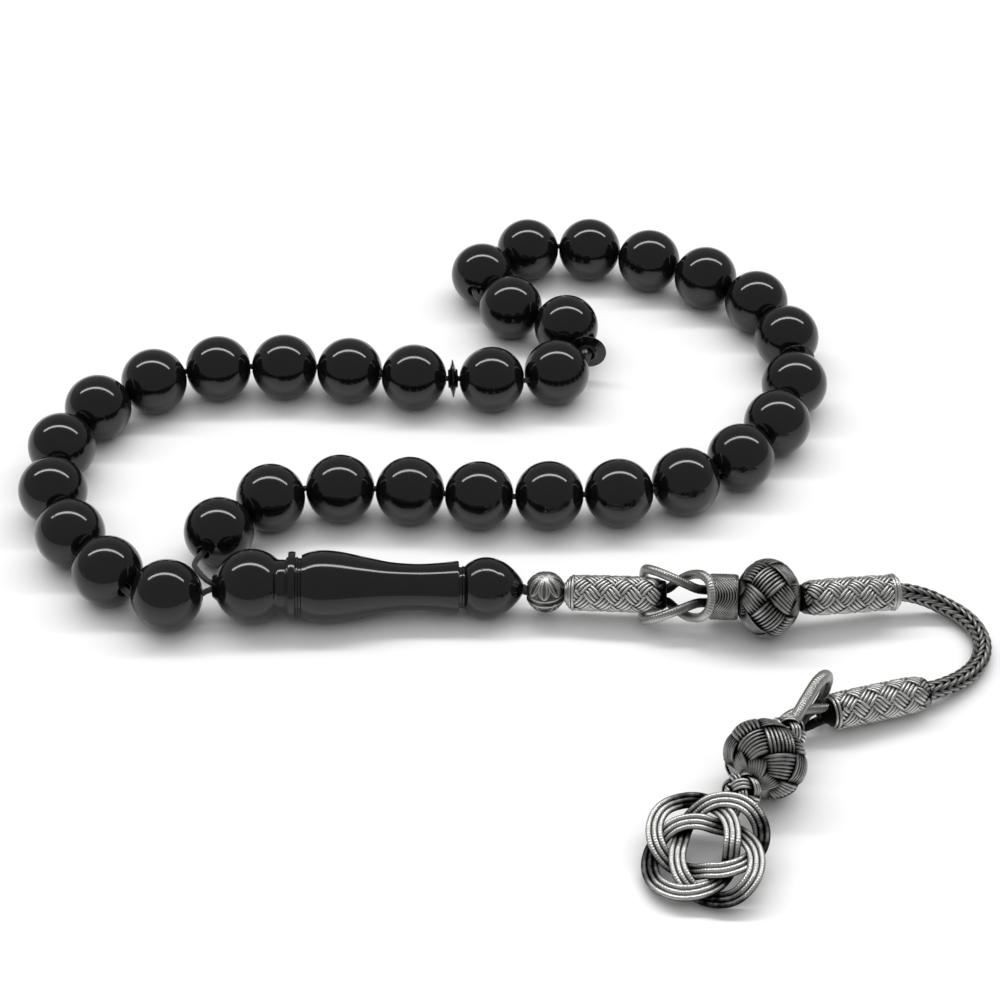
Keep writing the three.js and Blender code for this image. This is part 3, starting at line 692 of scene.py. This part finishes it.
def stamped_line(polar, around, below):
    """How strongly a die line stands at polar angle and angle around, 0 to 1."""
    sectors = 6 if below else 8
    share = 2 * np.pi / sectors
    off = np.abs((around + share / 2) % share - share / 2)
    width = CAP_RADIUS * np.sin(polar)
    inward = polar / (np.pi / 2)
    if below:
        arch = np.abs(off * width - 0.62 * (1 - inward) / 0.4) + np.abs(inward - 0.72) * 0.2
        bands = np.minimum(np.abs(inward - 0.9), np.abs(inward - 0.5)) * 4.5
        distance = np.minimum(arch, bands)
    else:
        petal = 0.5 * share * np.sin(np.pi * np.clip(inward / 0.82, 0, 1)) ** 0.8
        small = 0.5 * petal
        distance = np.minimum(np.abs(off - petal), np.abs(off - small)) * width
        distance = np.where(inward > 0.82, 9.0, distance)
        distance = np.minimum(distance, np.abs(inward - 0.88) * 4.5)
    return np.exp(-(distance / 0.11) ** 2)


def stamped_cup(name, side):
    """One cup: outside with its die lines, a rim at the seam, and a plain inside."""
    rows, columns = 60, 200
    seam = math.asin((GAP / 2 - 0.06) / CAP_RADIUS)
    polar = np.linspace(0.015, np.pi / 2 - seam, rows)[:, None]
    around = np.linspace(0, 2 * np.pi, columns, endpoint=False)[None, :]
    line = stamped_line(polar, around, side < 0)
    lip = np.exp(-((polar - np.pi / 2 + seam) / 0.05) ** 2)
    outer = CAP_RADIUS - 0.07 + 0.07 * np.maximum(line, lip)
    inner = np.full((rows, columns), CAP_RADIUS - CAP_WALL)
    polars = np.vstack([np.broadcast_to(polar, (rows, columns)),
                        np.broadcast_to(polar[::-1], (rows, columns))])
    arounds = np.broadcast_to(around, polars.shape)
    radii = np.vstack([outer, inner])
    local = radii[..., None] * np.stack([np.sin(polars) * np.cos(arounds),
                                         np.sin(polars) * np.sin(arounds),
                                         side * np.cos(polars)], axis=-1)
    here = np.arange(2 * rows - 1)[:, None] * columns + np.arange(columns)
    beside = np.arange(2 * rows - 1)[:, None] * columns + np.roll(np.arange(columns), -1)
    faces = np.stack([here, beside, beside + columns, here + columns], -1).reshape(-1, 4)
    pile = Pile()
    pile.add((local @ axes_along(HEAD_AXIS) + CAP_CENTRE).reshape(-1, 3), faces,
             np.vstack([0.25 + 0.75 * line, np.full((rows, columns), -1.0)]).ravel(), 0.0)
    first, last = np.arange(columns), (2 * rows - 1) * columns + np.arange(columns)
    close = np.stack([first, last, np.roll(last, -1), np.roll(first, -1)], -1)
    pile.faces.extend(close.tolist())
    return drilled(pile.build(f"{name}_stamped", STAMPED, "tassel_head", "oxidised_silver",
                              [name]))


def drilled(cup):
    """Cuts the thread's hole through a cup, along the tassel's axis."""
    drill = Pile()
    drill.sweep(np.array([on_head(-5), on_head(5)]), 1.3, sides=40)
    cutter = drill.build("drill", STAMPED)
    cut = cup.modifiers.new("hole", "BOOLEAN")
    cut.operation, cut.solver, cut.object = "DIFFERENCE", "EXACT", cutter
    bpy.context.view_layer.update()
    graph = bpy.context.evaluated_depsgraph_get()
    made = bpy.data.meshes.new_from_object(cup.evaluated_get(graph))
    cup.modifiers.clear()
    cup.data = made
    bpy.data.objects.remove(cutter)
    return cup


for name, side in (("cap_bead_upper", 1), ("cap_bead_lower", -1)):
    cup = stamped_cup(name, side)
    print(cup.name, len(cup.data.polygons), "faces")

# %% [markdown]
# The weave. Flat strips of parallel wires run round the form both ways and pass over and under
# each other. On a sleeve and on a ball alike, which strip is on top depends only on how far
# along the axis the crossing lies, so one function weaves both: it needs the form's radius and
# place along the axis, and how far the strips go round.

# %% Weaving on a round form
PAST_END = 0.2  # how many rows a form may be asked for beyond its ends


def over_under(phase):
    """1 on top, -1 beneath, with a level run and a quick change between."""
    wave = np.cos(phase)
    return wave * (1.5 - 0.5 * wave**2)


def weave(pile, form, strips, wires, pitch, wire, lift, rows, steps, edge=1.0, trim=0.0,
          end_shade=0.0):
    """form(v) gives (x, r) at v from 0 to rows, where whole v are the crossings.

    Edge thickens a strip's outermost wires. Trim leaves out that much of the rows at both
    ends. The last argument darkens the last row and a half: painted shade at the drawn-in end.
    """
    def near(place):
        return form(np.clip(place, -PAST_END, rows + PAST_END))

    v = np.linspace(trim, rows - trim, steps)
    x, r = form(v)
    dx, dr = np.gradient(x, v), np.gradient(r, v)
    slope = np.hypot(dx, dr)
    run = np.hypot(slope, r * np.pi / strips)
    squeeze = np.clip(r / r.max(), 0.3, 1) ** 0.7
    for lean in (1, -1):
        height = lean * over_under(np.pi * v)
        for strip in range(strips):
            around = 2 * np.pi * strip / strips + lean * v * np.pi / strips
            for k in range(wires):
                offset = (k - (wires - 1) / 2) * pitch
                thickness = wire * (edge if k in (0, wires - 1) else 1.0)
                shift = offset * squeeze
                vs = v - shift * (r * np.pi / strips) / run / slope
                turned = around + lean * shift * slope / run / np.maximum(r, 0.3)
                # Over wires are rubbed brighter and dives keep their black; the last rows get
                # painted shade.
                wear_and_shade = 0.45 + 0.55 * height - end_shade * np.clip((vs - rows + 1.5) / 1.5, 0, 1)
                keep = (vs > trim) & (vs < rows - trim)
                if keep.sum() > 3:
                    lay_wire(pile, near, vs, turned, height * lift, thickness, keep, wear_and_shade)


def lay_wire(pile, near, vs, turned, raised, wire, keep, wear_and_shade):
    """Sweeps one wire of the weave, raised along the form's own outward normal."""
    xs, rs = near(vs)
    ahead, behind = near(vs + 0.01), near(vs - 0.01)
    tx, tr = ahead[0] - behind[0], ahead[1] - behind[1]
    size = np.maximum(np.hypot(tx, tr), 1e-9)
    nx, nr = -tr / size, tx / size
    up = np.stack([nx, nr * np.cos(turned), nr * np.sin(turned)], axis=1)
    line = np.stack([xs, rs * np.cos(turned), rs * np.sin(turned)], axis=1)
    line = line + raised[:, None] * up
    pile.sweep(line[keep], wire, sides=6, normals=up[keep], rub=wear_and_shade[keep])


def round_axis(steps):
    """Angles once round the X axis, and the outward direction at each."""
    angle = np.linspace(0, 2 * np.pi, steps, endpoint=False)
    return angle, np.stack([0 * angle, np.cos(angle), np.sin(angle)], axis=1)


def ring_of_wire(pile, x, radius, wire, rub):
    """A wire laid once round the axis."""
    angle, out = round_axis(72)
    pile.sweep(out * radius + np.array([x, 0, 0]), wire, sides=7, normals=out, closed=True,
               rub=np.full(len(angle), rub))


def shade_lining(pile, outline):
    """A tube under the weave, painted black as shade, so that no light comes through between the
    wires.
    """
    pile.lathe(outline, 40, -1.0)


print("weaving is ready")

# %% [markdown]
# The three sleeves are tubes of five strips each way, four wires to a strip, and the strips
# cross at nearly a right angle. One end is rolled over into a ring, and the other is drawn in.

# %% The sleeves
SLEEVE_RADIUS = 2.5
STRIP_COUNT = 5
STRIP_WIRES = 4
WIRE_PITCH = 0.49
SLEEVE_WIRE = 0.25
SLEEVE_LIFT = 0.19
CROSSING_MM = 1.45
STRIP_LEVEL = SLEEVE_RADIUS - SLEEVE_WIRE - SLEEVE_LIFT


def sleeve(name, body, start, end, taper, end_radius, rings, stub=0.0, end_shade=0.5):
    """A woven sleeve from its ringed start to its drawn-in end.

    Rings are (x, how far out). A stub is a cone of the shade lining, painted black, that closes
    the start round what enters. The last argument is painted shade over the drawn-in end.
    """
    length = np.linalg.norm(end - start)
    rows = int(round((length - 0.8) / CROSSING_MM))
    crossing = (length - 0.8) / rows

    def form(v):
        x = 0.6 + v * crossing
        into = np.clip((x - (length - taper)) / taper, 0, 1)
        drop = (SLEEVE_RADIUS - end_radius) * into**1.6
        swell = 0.06 * np.sin(np.pi * np.clip(x / length, 0, 1))
        return x, STRIP_LEVEL + swell - drop

    pile = Pile()
    weave(pile, form, STRIP_COUNT, STRIP_WIRES, WIRE_PITCH, SLEEVE_WIRE, SLEEVE_LIFT, rows,
          14 * rows, end_shade=end_shade)
    for x, out in rings:
        ring_of_wire(pile, x, SLEEVE_RADIUS - SLEEVE_WIRE + out, SLEEVE_WIRE, 0.75)
    # The last ring is painted darker, as shade at the drawn-in end.
    ring_of_wire(pile, length - 0.2, end_radius - 0.25, SLEEVE_WIRE, 0.5 - end_shade)
    # The lining, its cone and its mouth are painted black as shade inside the sleeve.
    cone = [(-stub, 0.1), (-stub, 1.0)] if stub else []
    mouth = [(0.4, 1.6), (0.4, 0.1)] if stub else [(0.2, 1.6)]
    shade_lining(pile, [*cone, (0.2, 1.85), (0.6, 2.0), (length - taper, 1.98),
                  (length - 0.1, min(1.95, end_radius - 0.3)), (length - 0.1, 0.1), (3.2, 0.1),
                  (3.2, 1.6), *mouth])
    pile.set_down(start, axes_along(end - start))
    return pile.build(f"{name}_woven", WOVEN, body, "oxidised_silver", [name])


SLEEVE_A_START = CAP_RADIUS + GAP
SLEEVE_A_END = SLEEVE_A_START + 13.6
SLEEVE_C_START, SLEEVE_C_END = spot(57.9, -33.4, 2.7), spot(44.6, -37.9, 3.4)
ROLLED = ((0.2, -0.3), (0.6, 0.12), (1.0, 0.08))
# Sleeves A and B are given stronger painted shade at their drawn-in ends than the default.
woven = [
    sleeve("sleeve_a", "tassel_head", on_head(SLEEVE_A_START), on_head(SLEEVE_A_END), 2.6, 1.9,
           ((-0.28, -1.0), (-0.02, -0.6), (0.3, -0.2), (0.7, 0.05)), end_shade=1.1),
    sleeve("sleeve_b", "tassel_ball", spot(56.1, -15.3, 4.3), spot(42.3, -17.9, 5.4), 2.4, 1.9,
           ROLLED, end_shade=0.7),
    sleeve("sleeve_c", "tassel_drop", SLEEVE_C_END, SLEEVE_C_START, 2.6, 2.0,
           ((0.2, -0.35), (0.6, -0.1)), stub=1.6),
]
print("sleeves", [len(piece.data.polygons) for piece in woven], "faces")

# %% [markdown]
# The two balls are Turk's heads worked over a turned wooden bead. Six strips of seven wires go
# each way, cross in five rows and end just short of the poles. The outermost wire of a strip
# is a little thicker and frames it.

# %% The woven balls
BALL_WIRE = 0.265
BALL_LIFT = 0.27
BALL_ROWS = 6
ROW_DEGREES = 34
BALL_TRIM = 0.65
BALL_STRIPS, BALL_STRIP_WIRES, BALL_PITCH = 6, 7, 0.5
FRAMING_WIRE = 1.14


def woven_ball(name, body, centre, direction, diameter, length, roll):
    half = length / 2 - BALL_WIRE - BALL_LIFT + 0.25
    radius = diameter / 2 - BALL_WIRE - BALL_LIFT

    def form(v):
        latitude = np.radians(ROW_DEGREES * (v - BALL_ROWS / 2))
        return half * np.sin(latitude), radius * np.cos(latitude)

    pile = Pile()
    weave(pile, form, BALL_STRIPS, BALL_STRIP_WIRES, BALL_PITCH, BALL_WIRE, BALL_LIFT,
          BALL_ROWS, 110, edge=FRAMING_WIRE, trim=BALL_TRIM)
    poles = np.linspace(-1.45, 1.45, 28)
    inner = [((half - 0.5) * math.sin(a), (radius - 0.55) * math.cos(a)) for a in poles]
    # A tube painted black as shade under the ball's weave.
    shade_lining(pile, [*inner, (inner[-1][0], 0.2), (inner[-1][0] - 0.6, 0.2),
                  (inner[-1][0] - 0.6, 0.3), (0, 3.2), (inner[0][0] + 0.6, 0.3),
                  (inner[0][0] + 0.6, 0.2), (inner[0][0], 0.2)])
    pile.set_down(centre, axes_along(direction, roll))
    return pile.build(f"{name}_woven", DARK_WOVEN, body, "oxidised_silver", [name])


DROP_LINK = spot(41.0, -39.1, 4.2)
drop_axis = unit((DROP_LINK - BALL_B_CENTRE) * np.array([1, 1, 0]))
for piece in (woven_ball("ball_a_weave", "tassel_ball", BALL_A_CENTRE, HEAD_AXIS, 11.0, 8.6, 20),
              woven_ball("ball_b_weave", "pendant", BALL_B_CENTRE, -drop_axis, 11.2, 8.8, -21)):
    print(piece.name, len(piece.data.polygons), "faces")

# %% [markdown]
# The turned beads inside the balls never show, but they carry the weave, so they stay as the
# frame has them and are given the wood they would be: box or apricot, left unfinished.

# %% The wooden cores
def turned_wood():
    ring_mm = 1.1
    material, tree, shader = new_material("turned_fruitwood", Roughness=0.7, IOR=1.5)
    place = object_place(tree)
    grain = add_node(tree, "ShaderNodeTexWave", {"Vector": place, "Scale": 0.5 / (ring_mm * MM),
                                                 "Distortion": 2.0, "Detail": 3.0})
    paint(tree, shader, grain.outputs["Fac"], "#5a3c22", "#7d5836")
    return material


WOOD = turned_wood()
for name in ("ball_a_core", "ball_b_core"):
    frame["nodes"][name].data.materials.clear()
    frame["nodes"][name].data.materials.append(WOOD)
print("cores wear", WOOD.name)

# %% [markdown]
# The two long loops are one thick wire each, bent into a hairpin and wrapped. They are linked
# like the first two links of a chain, so that the tassel can swing. Loop A leaves the sleeve,
# dips under B's legs and closes over the neck; loop B does the same the other way round.

# %% The linked loops
LOOP_WIRE = 1.3 / 2
NECK_RADIUS = 3.2
NECK_LENGTH = 3.7
HEAD_LENGTH = float(np.linalg.norm(BALL_A_CENTRE - CAP_CENTRE))
NECK_END = HEAD_LENGTH - 8.6 / 2 - GAP
NECK_START = NECK_END - NECK_LENGTH
LEG = 0.85
OVER_NECK = NECK_RADIUS + LOOP_WIRE + GAP + 0.1
BEHIND_SLEEVE = SLEEVE_RADIUS + LOOP_WIRE + GAP + 0.1
LOOP_ROLL = 47
a, n = SLEEVE_A_END, NECK_START
HALF_A = [(a - 5, LEG, 0), (a - 1.2, LEG, 0), (a + 0.1, LEG + 0.05, -0.1), (a + 1.4, 1.9, -0.75),
          (a + 2.7, 2.7, -0.3), (n - 1.7, 3.0, 1.2), (n - 0.6, 2.75, 2.9),
          (n + 0.2, 1.9, OVER_NECK - 0.45)]
HALF_B = [(n + 3.2, LEG, 0), (n + 0.9, LEG, 0), (n - 0.2, LEG + 0.03, 0.15), (n - 1.5, 1.0, 1.0),
          (n - 3.4, 1.75, 1.45), (a + 0.3, 2.6, 1.85), (a - 1.8, 3.35, 1.0),
          (a - 3.0, BEHIND_SLEEVE, -0.7), (a - 3.3, 0.68 * BEHIND_SLEEVE, -0.76 * BEHIND_SLEEVE)]


def hairpin(name, body, half, close):
    """A wrapped wire along one half, round its closing point, and back along the other."""
    back = [(x, -y, z) for x, y, z in reversed(half)]
    line = smooth_line([*half, close, *back], 10)
    pile = Pile()
    pile.sweep(line, LOOP_WIRE, sides=20)
    # Painted shade towards the tassel's axis replaces the wire's rubbed crowns.
    pile.rub[0] = shade_towards_axis(pile.points[0])
    pile.set_down(CAP_CENTRE, axes_along(HEAD_AXIS, LOOP_ROLL))
    return pile.build(f"{name}_wrapped", WRAPPED, body, "oxidised_silver", [name])


def shade_towards_axis(points):
    """Painted shade: a loop is darker near the tassel's axis, where its legs run in, and lighter
    away from it.
    """
    off_axis = np.linalg.norm(points[:, 1:], axis=1)
    return np.clip((off_axis - 1.2) / 2.6, 0, 1)


for piece in (hairpin("link_loop_a", "tassel_head", HALF_A, (n + 0.6, 0, OVER_NECK)),
              hairpin("link_loop_b", "tassel_ball", HALF_B, (a - 3.4, 0, -BEHIND_SLEEVE - 0.05))):
    print(piece.name, len(piece.data.polygons), "faces")

# %% [markdown]
# Between the loops and the ball the ends are bound with the finest wire, laid in fans that
# overlap like scales. Each turn of the binding swings forward and back as it goes round.

# %% The neck binding
def neck_binding():
    pile = Pile()
    pitch, swing, fans = 0.38, 1.5, 4
    last = NECK_END + 0.45  # tucked against the ball
    angle, out = round_axis(160)
    wave = swing * np.abs(np.sin(fans * angle / 2)) - swing
    for x in np.arange(NECK_START + 0.16, last + swing, pitch):
        along = np.clip(x + wave, NECK_START + 0.12, last - 0.12)
        edge = np.minimum(along - NECK_START, last - along)
        radius = NECK_RADIUS - 0.14 - 0.3 * np.clip(1 - edge / 0.5, 0, 1) ** 2
        line = out * radius[:, None] + np.stack([along, 0 * angle, 0 * angle], axis=1)
        pile.sweep(line, 0.17, sides=6, normals=out, closed=True, rub=np.ones(len(angle)))
    # A tube painted black as shade under the binding.
    shade_lining(pile, [(NECK_START + 0.05, 1.8), (NECK_START + 0.05, 2.7), (NECK_START + 0.5, 3.0),
                  (last - 0.5, 3.0), (last - 0.05, 2.7), (last - 0.05, 1.8)])
    pile.set_down(CAP_CENTRE, axes_along(HEAD_AXIS))
    return pile.build("neck_wrap_bound", DARK_WOVEN, "tassel_ball", "oxidised_silver",
                      ["neck_wrap"])


print("neck binding", len(neck_binding().data.polygons), "faces")

# %% [markdown]
# At the pendant two more wrapped loops stand upright and hang in each other. The chain's end
# has the low one, and the ball's ring reaches up through it.

# %% The drop's loops
DROP_WIRE = 1.3 / 2
STEP = 1.2 + GAP + 0.2
COLLAR_DROP = 1.0
COLLAR_LENGTH = 2.8
BALL_B_HALF = 8.8 / 2
DROP_LENGTH = float(np.linalg.norm((BALL_B_CENTRE - DROP_LINK)[:2]))


def upright_loop(name, body, direction, points, thicker=0.0):
    """A wrapped wire through points (along the direction, height), in an upright plane.

    Thicker is what its radius gains where the loop stands high.
    """
    floor = DROP_LINK * np.array([1, 1, 0])
    line = smooth_line([floor + along * direction + [0, 0, height] for along, height in points],
                       12)
    pile = Pile()
    wire = DROP_WIRE + thicker * np.clip((line[:, 2] - 4.2) / 2.5, 0, 1)
    pile.sweep(line, wire, sides=20)
    heights = pile.points[0][:, 2]
    # Painted light: the wire is brighter the higher it stands, with painted shade low down by the
    # table.
    pile.rub[0] = np.clip((heights - 2.5) / 4, 0, 1)
    return pile.build(f"{name}_wrapped", WRAPPED, body, "oxidised_silver", [name])


along_c = unit((SLEEVE_C_END - SLEEVE_C_START) * [1, 1, 0])
reach = float(np.linalg.norm((SLEEVE_C_END - DROP_LINK)[:2]))
z, zc = DROP_LINK[2], SLEEVE_C_END[2]
drop_loop = upright_loop("drop_loop", "tassel_drop", along_c, [
    (-reach - 4, zc + LEG - 0.2), (-reach, zc + LEG), (0, z + 0.5 * STEP), (2.2, z + 0.3 * STEP),
    (3.3, z - 0.5 * STEP), (2.2, z - 1.3 * STEP), (0, z - 1.5 * STEP), (-reach, zc - LEG),
    (-reach - 4, zc - LEG - 0.2)])


def ball_axis_height(along):
    return BALL_B_CENTRE[2] - COLLAR_DROP * (1 - along / DROP_LENGTH)


in_ball = DROP_LENGTH - 3.5
collar_start = DROP_LENGTH - BALL_B_HALF - GAP - COLLAR_LENGTH
drop_ring = upright_loop("drop_ring", "pendant", -drop_axis, [
    (in_ball, ball_axis_height(in_ball) + LEG),
    (collar_start, ball_axis_height(collar_start) + LEG), (0, z + 1.5 * STEP),
    (-3.5, z + 1.9 * STEP), (-6.0, z + 1.3 * STEP), (-6.8, z + 0.2 * STEP),
    (-5.6, z - 0.9 * STEP), (-3.4, z - 1.1 * STEP), (-1.2, z - 0.5 * STEP), (0, z - 0.5 * STEP),
    (collar_start, ball_axis_height(collar_start) - LEG),
    (in_ball, ball_axis_height(in_ball) - LEG)], thicker=0.22)
print("drop loops", len(drop_loop.data.polygons), len(drop_ring.data.polygons), "faces")

# %% [markdown]
# A small Turk's head of three wires covers each place where the wires go into the ball. It is
# the ball's own weave again, with fewer strips and fewer rows.

# %% The collar knots
def collar_knot(name, centre, direction):
    half, radius, reach = 1.8, 2.2, math.radians(62)

    def form(v):
        latitude = reach * (2 * v / 3 - 1)
        return half * np.sin(latitude), radius * np.cos(latitude) ** 0.7

    pile = Pile()
    weave(pile, form, 4, 3, 0.44, 0.22, 0.24, 3, 60)
    # A tube painted black as shade under the knot.
    shade_lining(pile, [(-1.2, 0.9), (-1.2, 1.3), (-0.5, 1.65), (0.5, 1.65), (1.2, 1.3), (1.2, 0.9)])
    pile.set_down(centre, axes_along(direction))
    return pile.build(f"{name}_knotted", WOVEN, "pendant", "oxidised_silver", [name])


CLOVER_CENTRE = spot(26.6, -61.9, 3.7)


def collar_place(toward, gaps):
    """Centre and direction of a collar on the side of the ball that faces a place."""
    axis = unit(toward * [1, 1, 0] + [0, 0, BALL_B_CENTRE[2] - COLLAR_DROP] - BALL_B_CENTRE)
    return BALL_B_CENTRE + (BALL_B_HALF + gaps * GAP + COLLAR_LENGTH / 2) * axis, axis


upper_at, upper_axis = collar_place(DROP_LINK, 1)
lower_at, lower_axis = collar_place(CLOVER_CENTRE, 2)
for piece in (collar_knot("collar_knot_1", upper_at, upper_axis),
              collar_knot("collar_knot_2", lower_at, lower_axis)):
    print(piece.name, len(piece.data.polygons), "faces")

# %% [markdown]
# The pendant is a flat mat knot of four lobes, three wrapped wires laid side by side. The
# middle wire follows one closed formula: the radius swings four times while the wire goes
# three times round, and it rises and falls eight times, which makes the over and under. A
# small swing along the way draws the lobes round and leaves the four inner bars straight.

# %% The clover pendant
CLOVER_WIDTH, CLOVER_HOLE, CLOVER_BAND = 17.6, 4.3, 2.3
CLOVER_WIRE = 0.37
CLOVER_LIFT = 0.5
ROUND_LOBES, STRAIGHT_BARS = 0.76, 0.28  # the two sideways swings, mm
CLOVER_TURN = math.radians(65)
CLOVER_TILT = math.radians(17)


def clover_axes():
    """The knot's own axes: X towards its free side, tipped down from the ball."""
    heading = unit((CLOVER_CENTRE - BALL_B_CENTRE) * [1, 1, 0])
    x, y, z_up = axes_along(heading)
    c, s = math.cos(CLOVER_TILT), math.sin(CLOVER_TILT)
    return np.array([c * x - s * z_up, y, s * x + c * z_up])


def clover_wire(offset, steps=420):
    turn_angle = np.linspace(0, 2 * np.pi, steps, endpoint=False)
    outer, inner = (CLOVER_WIDTH - CLOVER_BAND) / 2, (CLOVER_HOLE + CLOVER_BAND) / 2
    reach = (outer + inner) / 2 + (outer - inner) / 2 * np.cos(4 * turn_angle)
    lag = (-ROUND_LOBES * np.sin(4 * turn_angle)
           - STRAIGHT_BARS * np.sin(8 * turn_angle))
    flat = (reach + 1j * lag) * np.exp(3j * turn_angle)
    line = np.stack([flat.real, flat.imag, 0 * turn_angle], axis=1)
    side = np.cross(tangents(line, True), [0, 0, 1.0])
    line = line + offset * side
    line[:, 2] = CLOVER_LIFT * over_under(8 * turn_angle - np.pi / 2)
    c, s = math.cos(CLOVER_TURN), math.sin(CLOVER_TURN)
    return line @ np.array([[c, s, 0], [-s, c, 0], [0, 0, 1]])


def clover():
    pile = Pile()
    axes = clover_axes()

    def under_ball(distance):
        return (BALL_B_CENTRE + (BALL_B_HALF + distance) * lower_axis - CLOVER_CENTRE) @ axes.T

    into_ball, past = under_ball(-0.6), under_ball(COLLAR_LENGTH + 1.0)
    for k in (-1, 0, 1):
        line = clover_wire(k * 2 * CLOVER_WIRE)
        up = np.broadcast_to([0, 0, 1.0], line.shape)
        pile.sweep(line, CLOVER_WIRE, sides=12, normals=up, closed=True,
                   rub=0.7 + 0.5 * line[:, 2] / CLOVER_LIFT)
        spread = np.array([0, k * 0.75, 0])
        stem = smooth_line([into_ball + 0.6 * spread, past + spread,
                            np.array([-6.4, 0.6, 0.3]) + spread,
                            np.array([-5.4, 0.6, -0.1]) + spread], 8)
        pile.sweep(stem, 0.34, sides=10, rub=np.full(len(stem), 0.3))
    pile.set_down(CLOVER_CENTRE, axes)
    return pile.build("clover_pendant_knotted", KNOTTED, "pendant", "oxidised_silver",
                      ["clover_pendant"])


print("clover", len(clover().data.polygons), "faces")

# %% [markdown]
# The table is a sheet of white acrylic, so the beads leave a faint reflection in it. It is
# part of the studio and not of the object.

# %% The table
def white_acrylic():
    cloud_mm = 400
    material, tree, shader = new_material("white_acrylic_table", Roughness=0.28)
    place = object_place(tree)
    cloud = add_node(tree, "ShaderNodeTexNoise", {"Vector": place, "Scale": 1 / (cloud_mm * MM)})
    paint(tree, shader, cloud.outputs["Fac"], "#f1f1f1", "#f6f6f6")
    return material


TABLE_HALF = 3000
table_mesh = bpy.data.meshes.new("table")
BELOW = 0.02  # the table lies this far under the frame's floor
corners = [(x * TABLE_HALF * MM, y * TABLE_HALF * MM, -BELOW * MM)
           for x, y in ((-1, -1), (1, -1), (1, 1), (-1, 1))]
table_mesh.from_pydata(corners, [], [(0, 1, 2, 3)])
table_mesh.materials.append(white_acrylic())
table = new_object("table", table_mesh)
print("table", 2 * TABLE_HALF / 1000, "m across")

# %% [markdown]
# Black stone shows the lamps themselves, so the lamps are shaped for it: one long narrow strip
# overhead and a little behind draws the thin bright curve on each bead, and a broad panel that
# reflections don't see fills the shadows. The room is a dim grey.

# %% Light
def panel(name, size, place_mm, power, seen=True):
    """A rectangular lamp that looks at the middle of the table."""
    lamp = bpy.data.lights.new(name, "AREA")
    lamp.shape, lamp.size, lamp.size_y, lamp.energy = "RECTANGLE", *size, power
    holder = new_object(name, lamp)
    holder.location = np.array(place_mm) * MM
    axis_y = np.cross(unit(place_mm), [1.0, 0, 0])
    holder.rotation_euler = (math.atan2(axis_y[2], axis_y[1]), 0, 0)
    holder.visible_glossy = seen


panel("strip", (2.5, 0.14), (0, 420, 1000), 11)
panel("fill", (2.2, 2.2), (0, -100, 1300), 13, seen=False)
world = bpy.data.worlds.new("studio")
bpy.context.scene.world = world
world.use_nodes = True
world.node_tree.nodes["Background"].inputs["Color"].default_value = colour("#a0a0a0")
world.node_tree.nodes["Background"].inputs["Strength"].default_value = 0.9
bpy.context.scene.view_settings.view_transform = "Standard"
print("lamps and room are set")
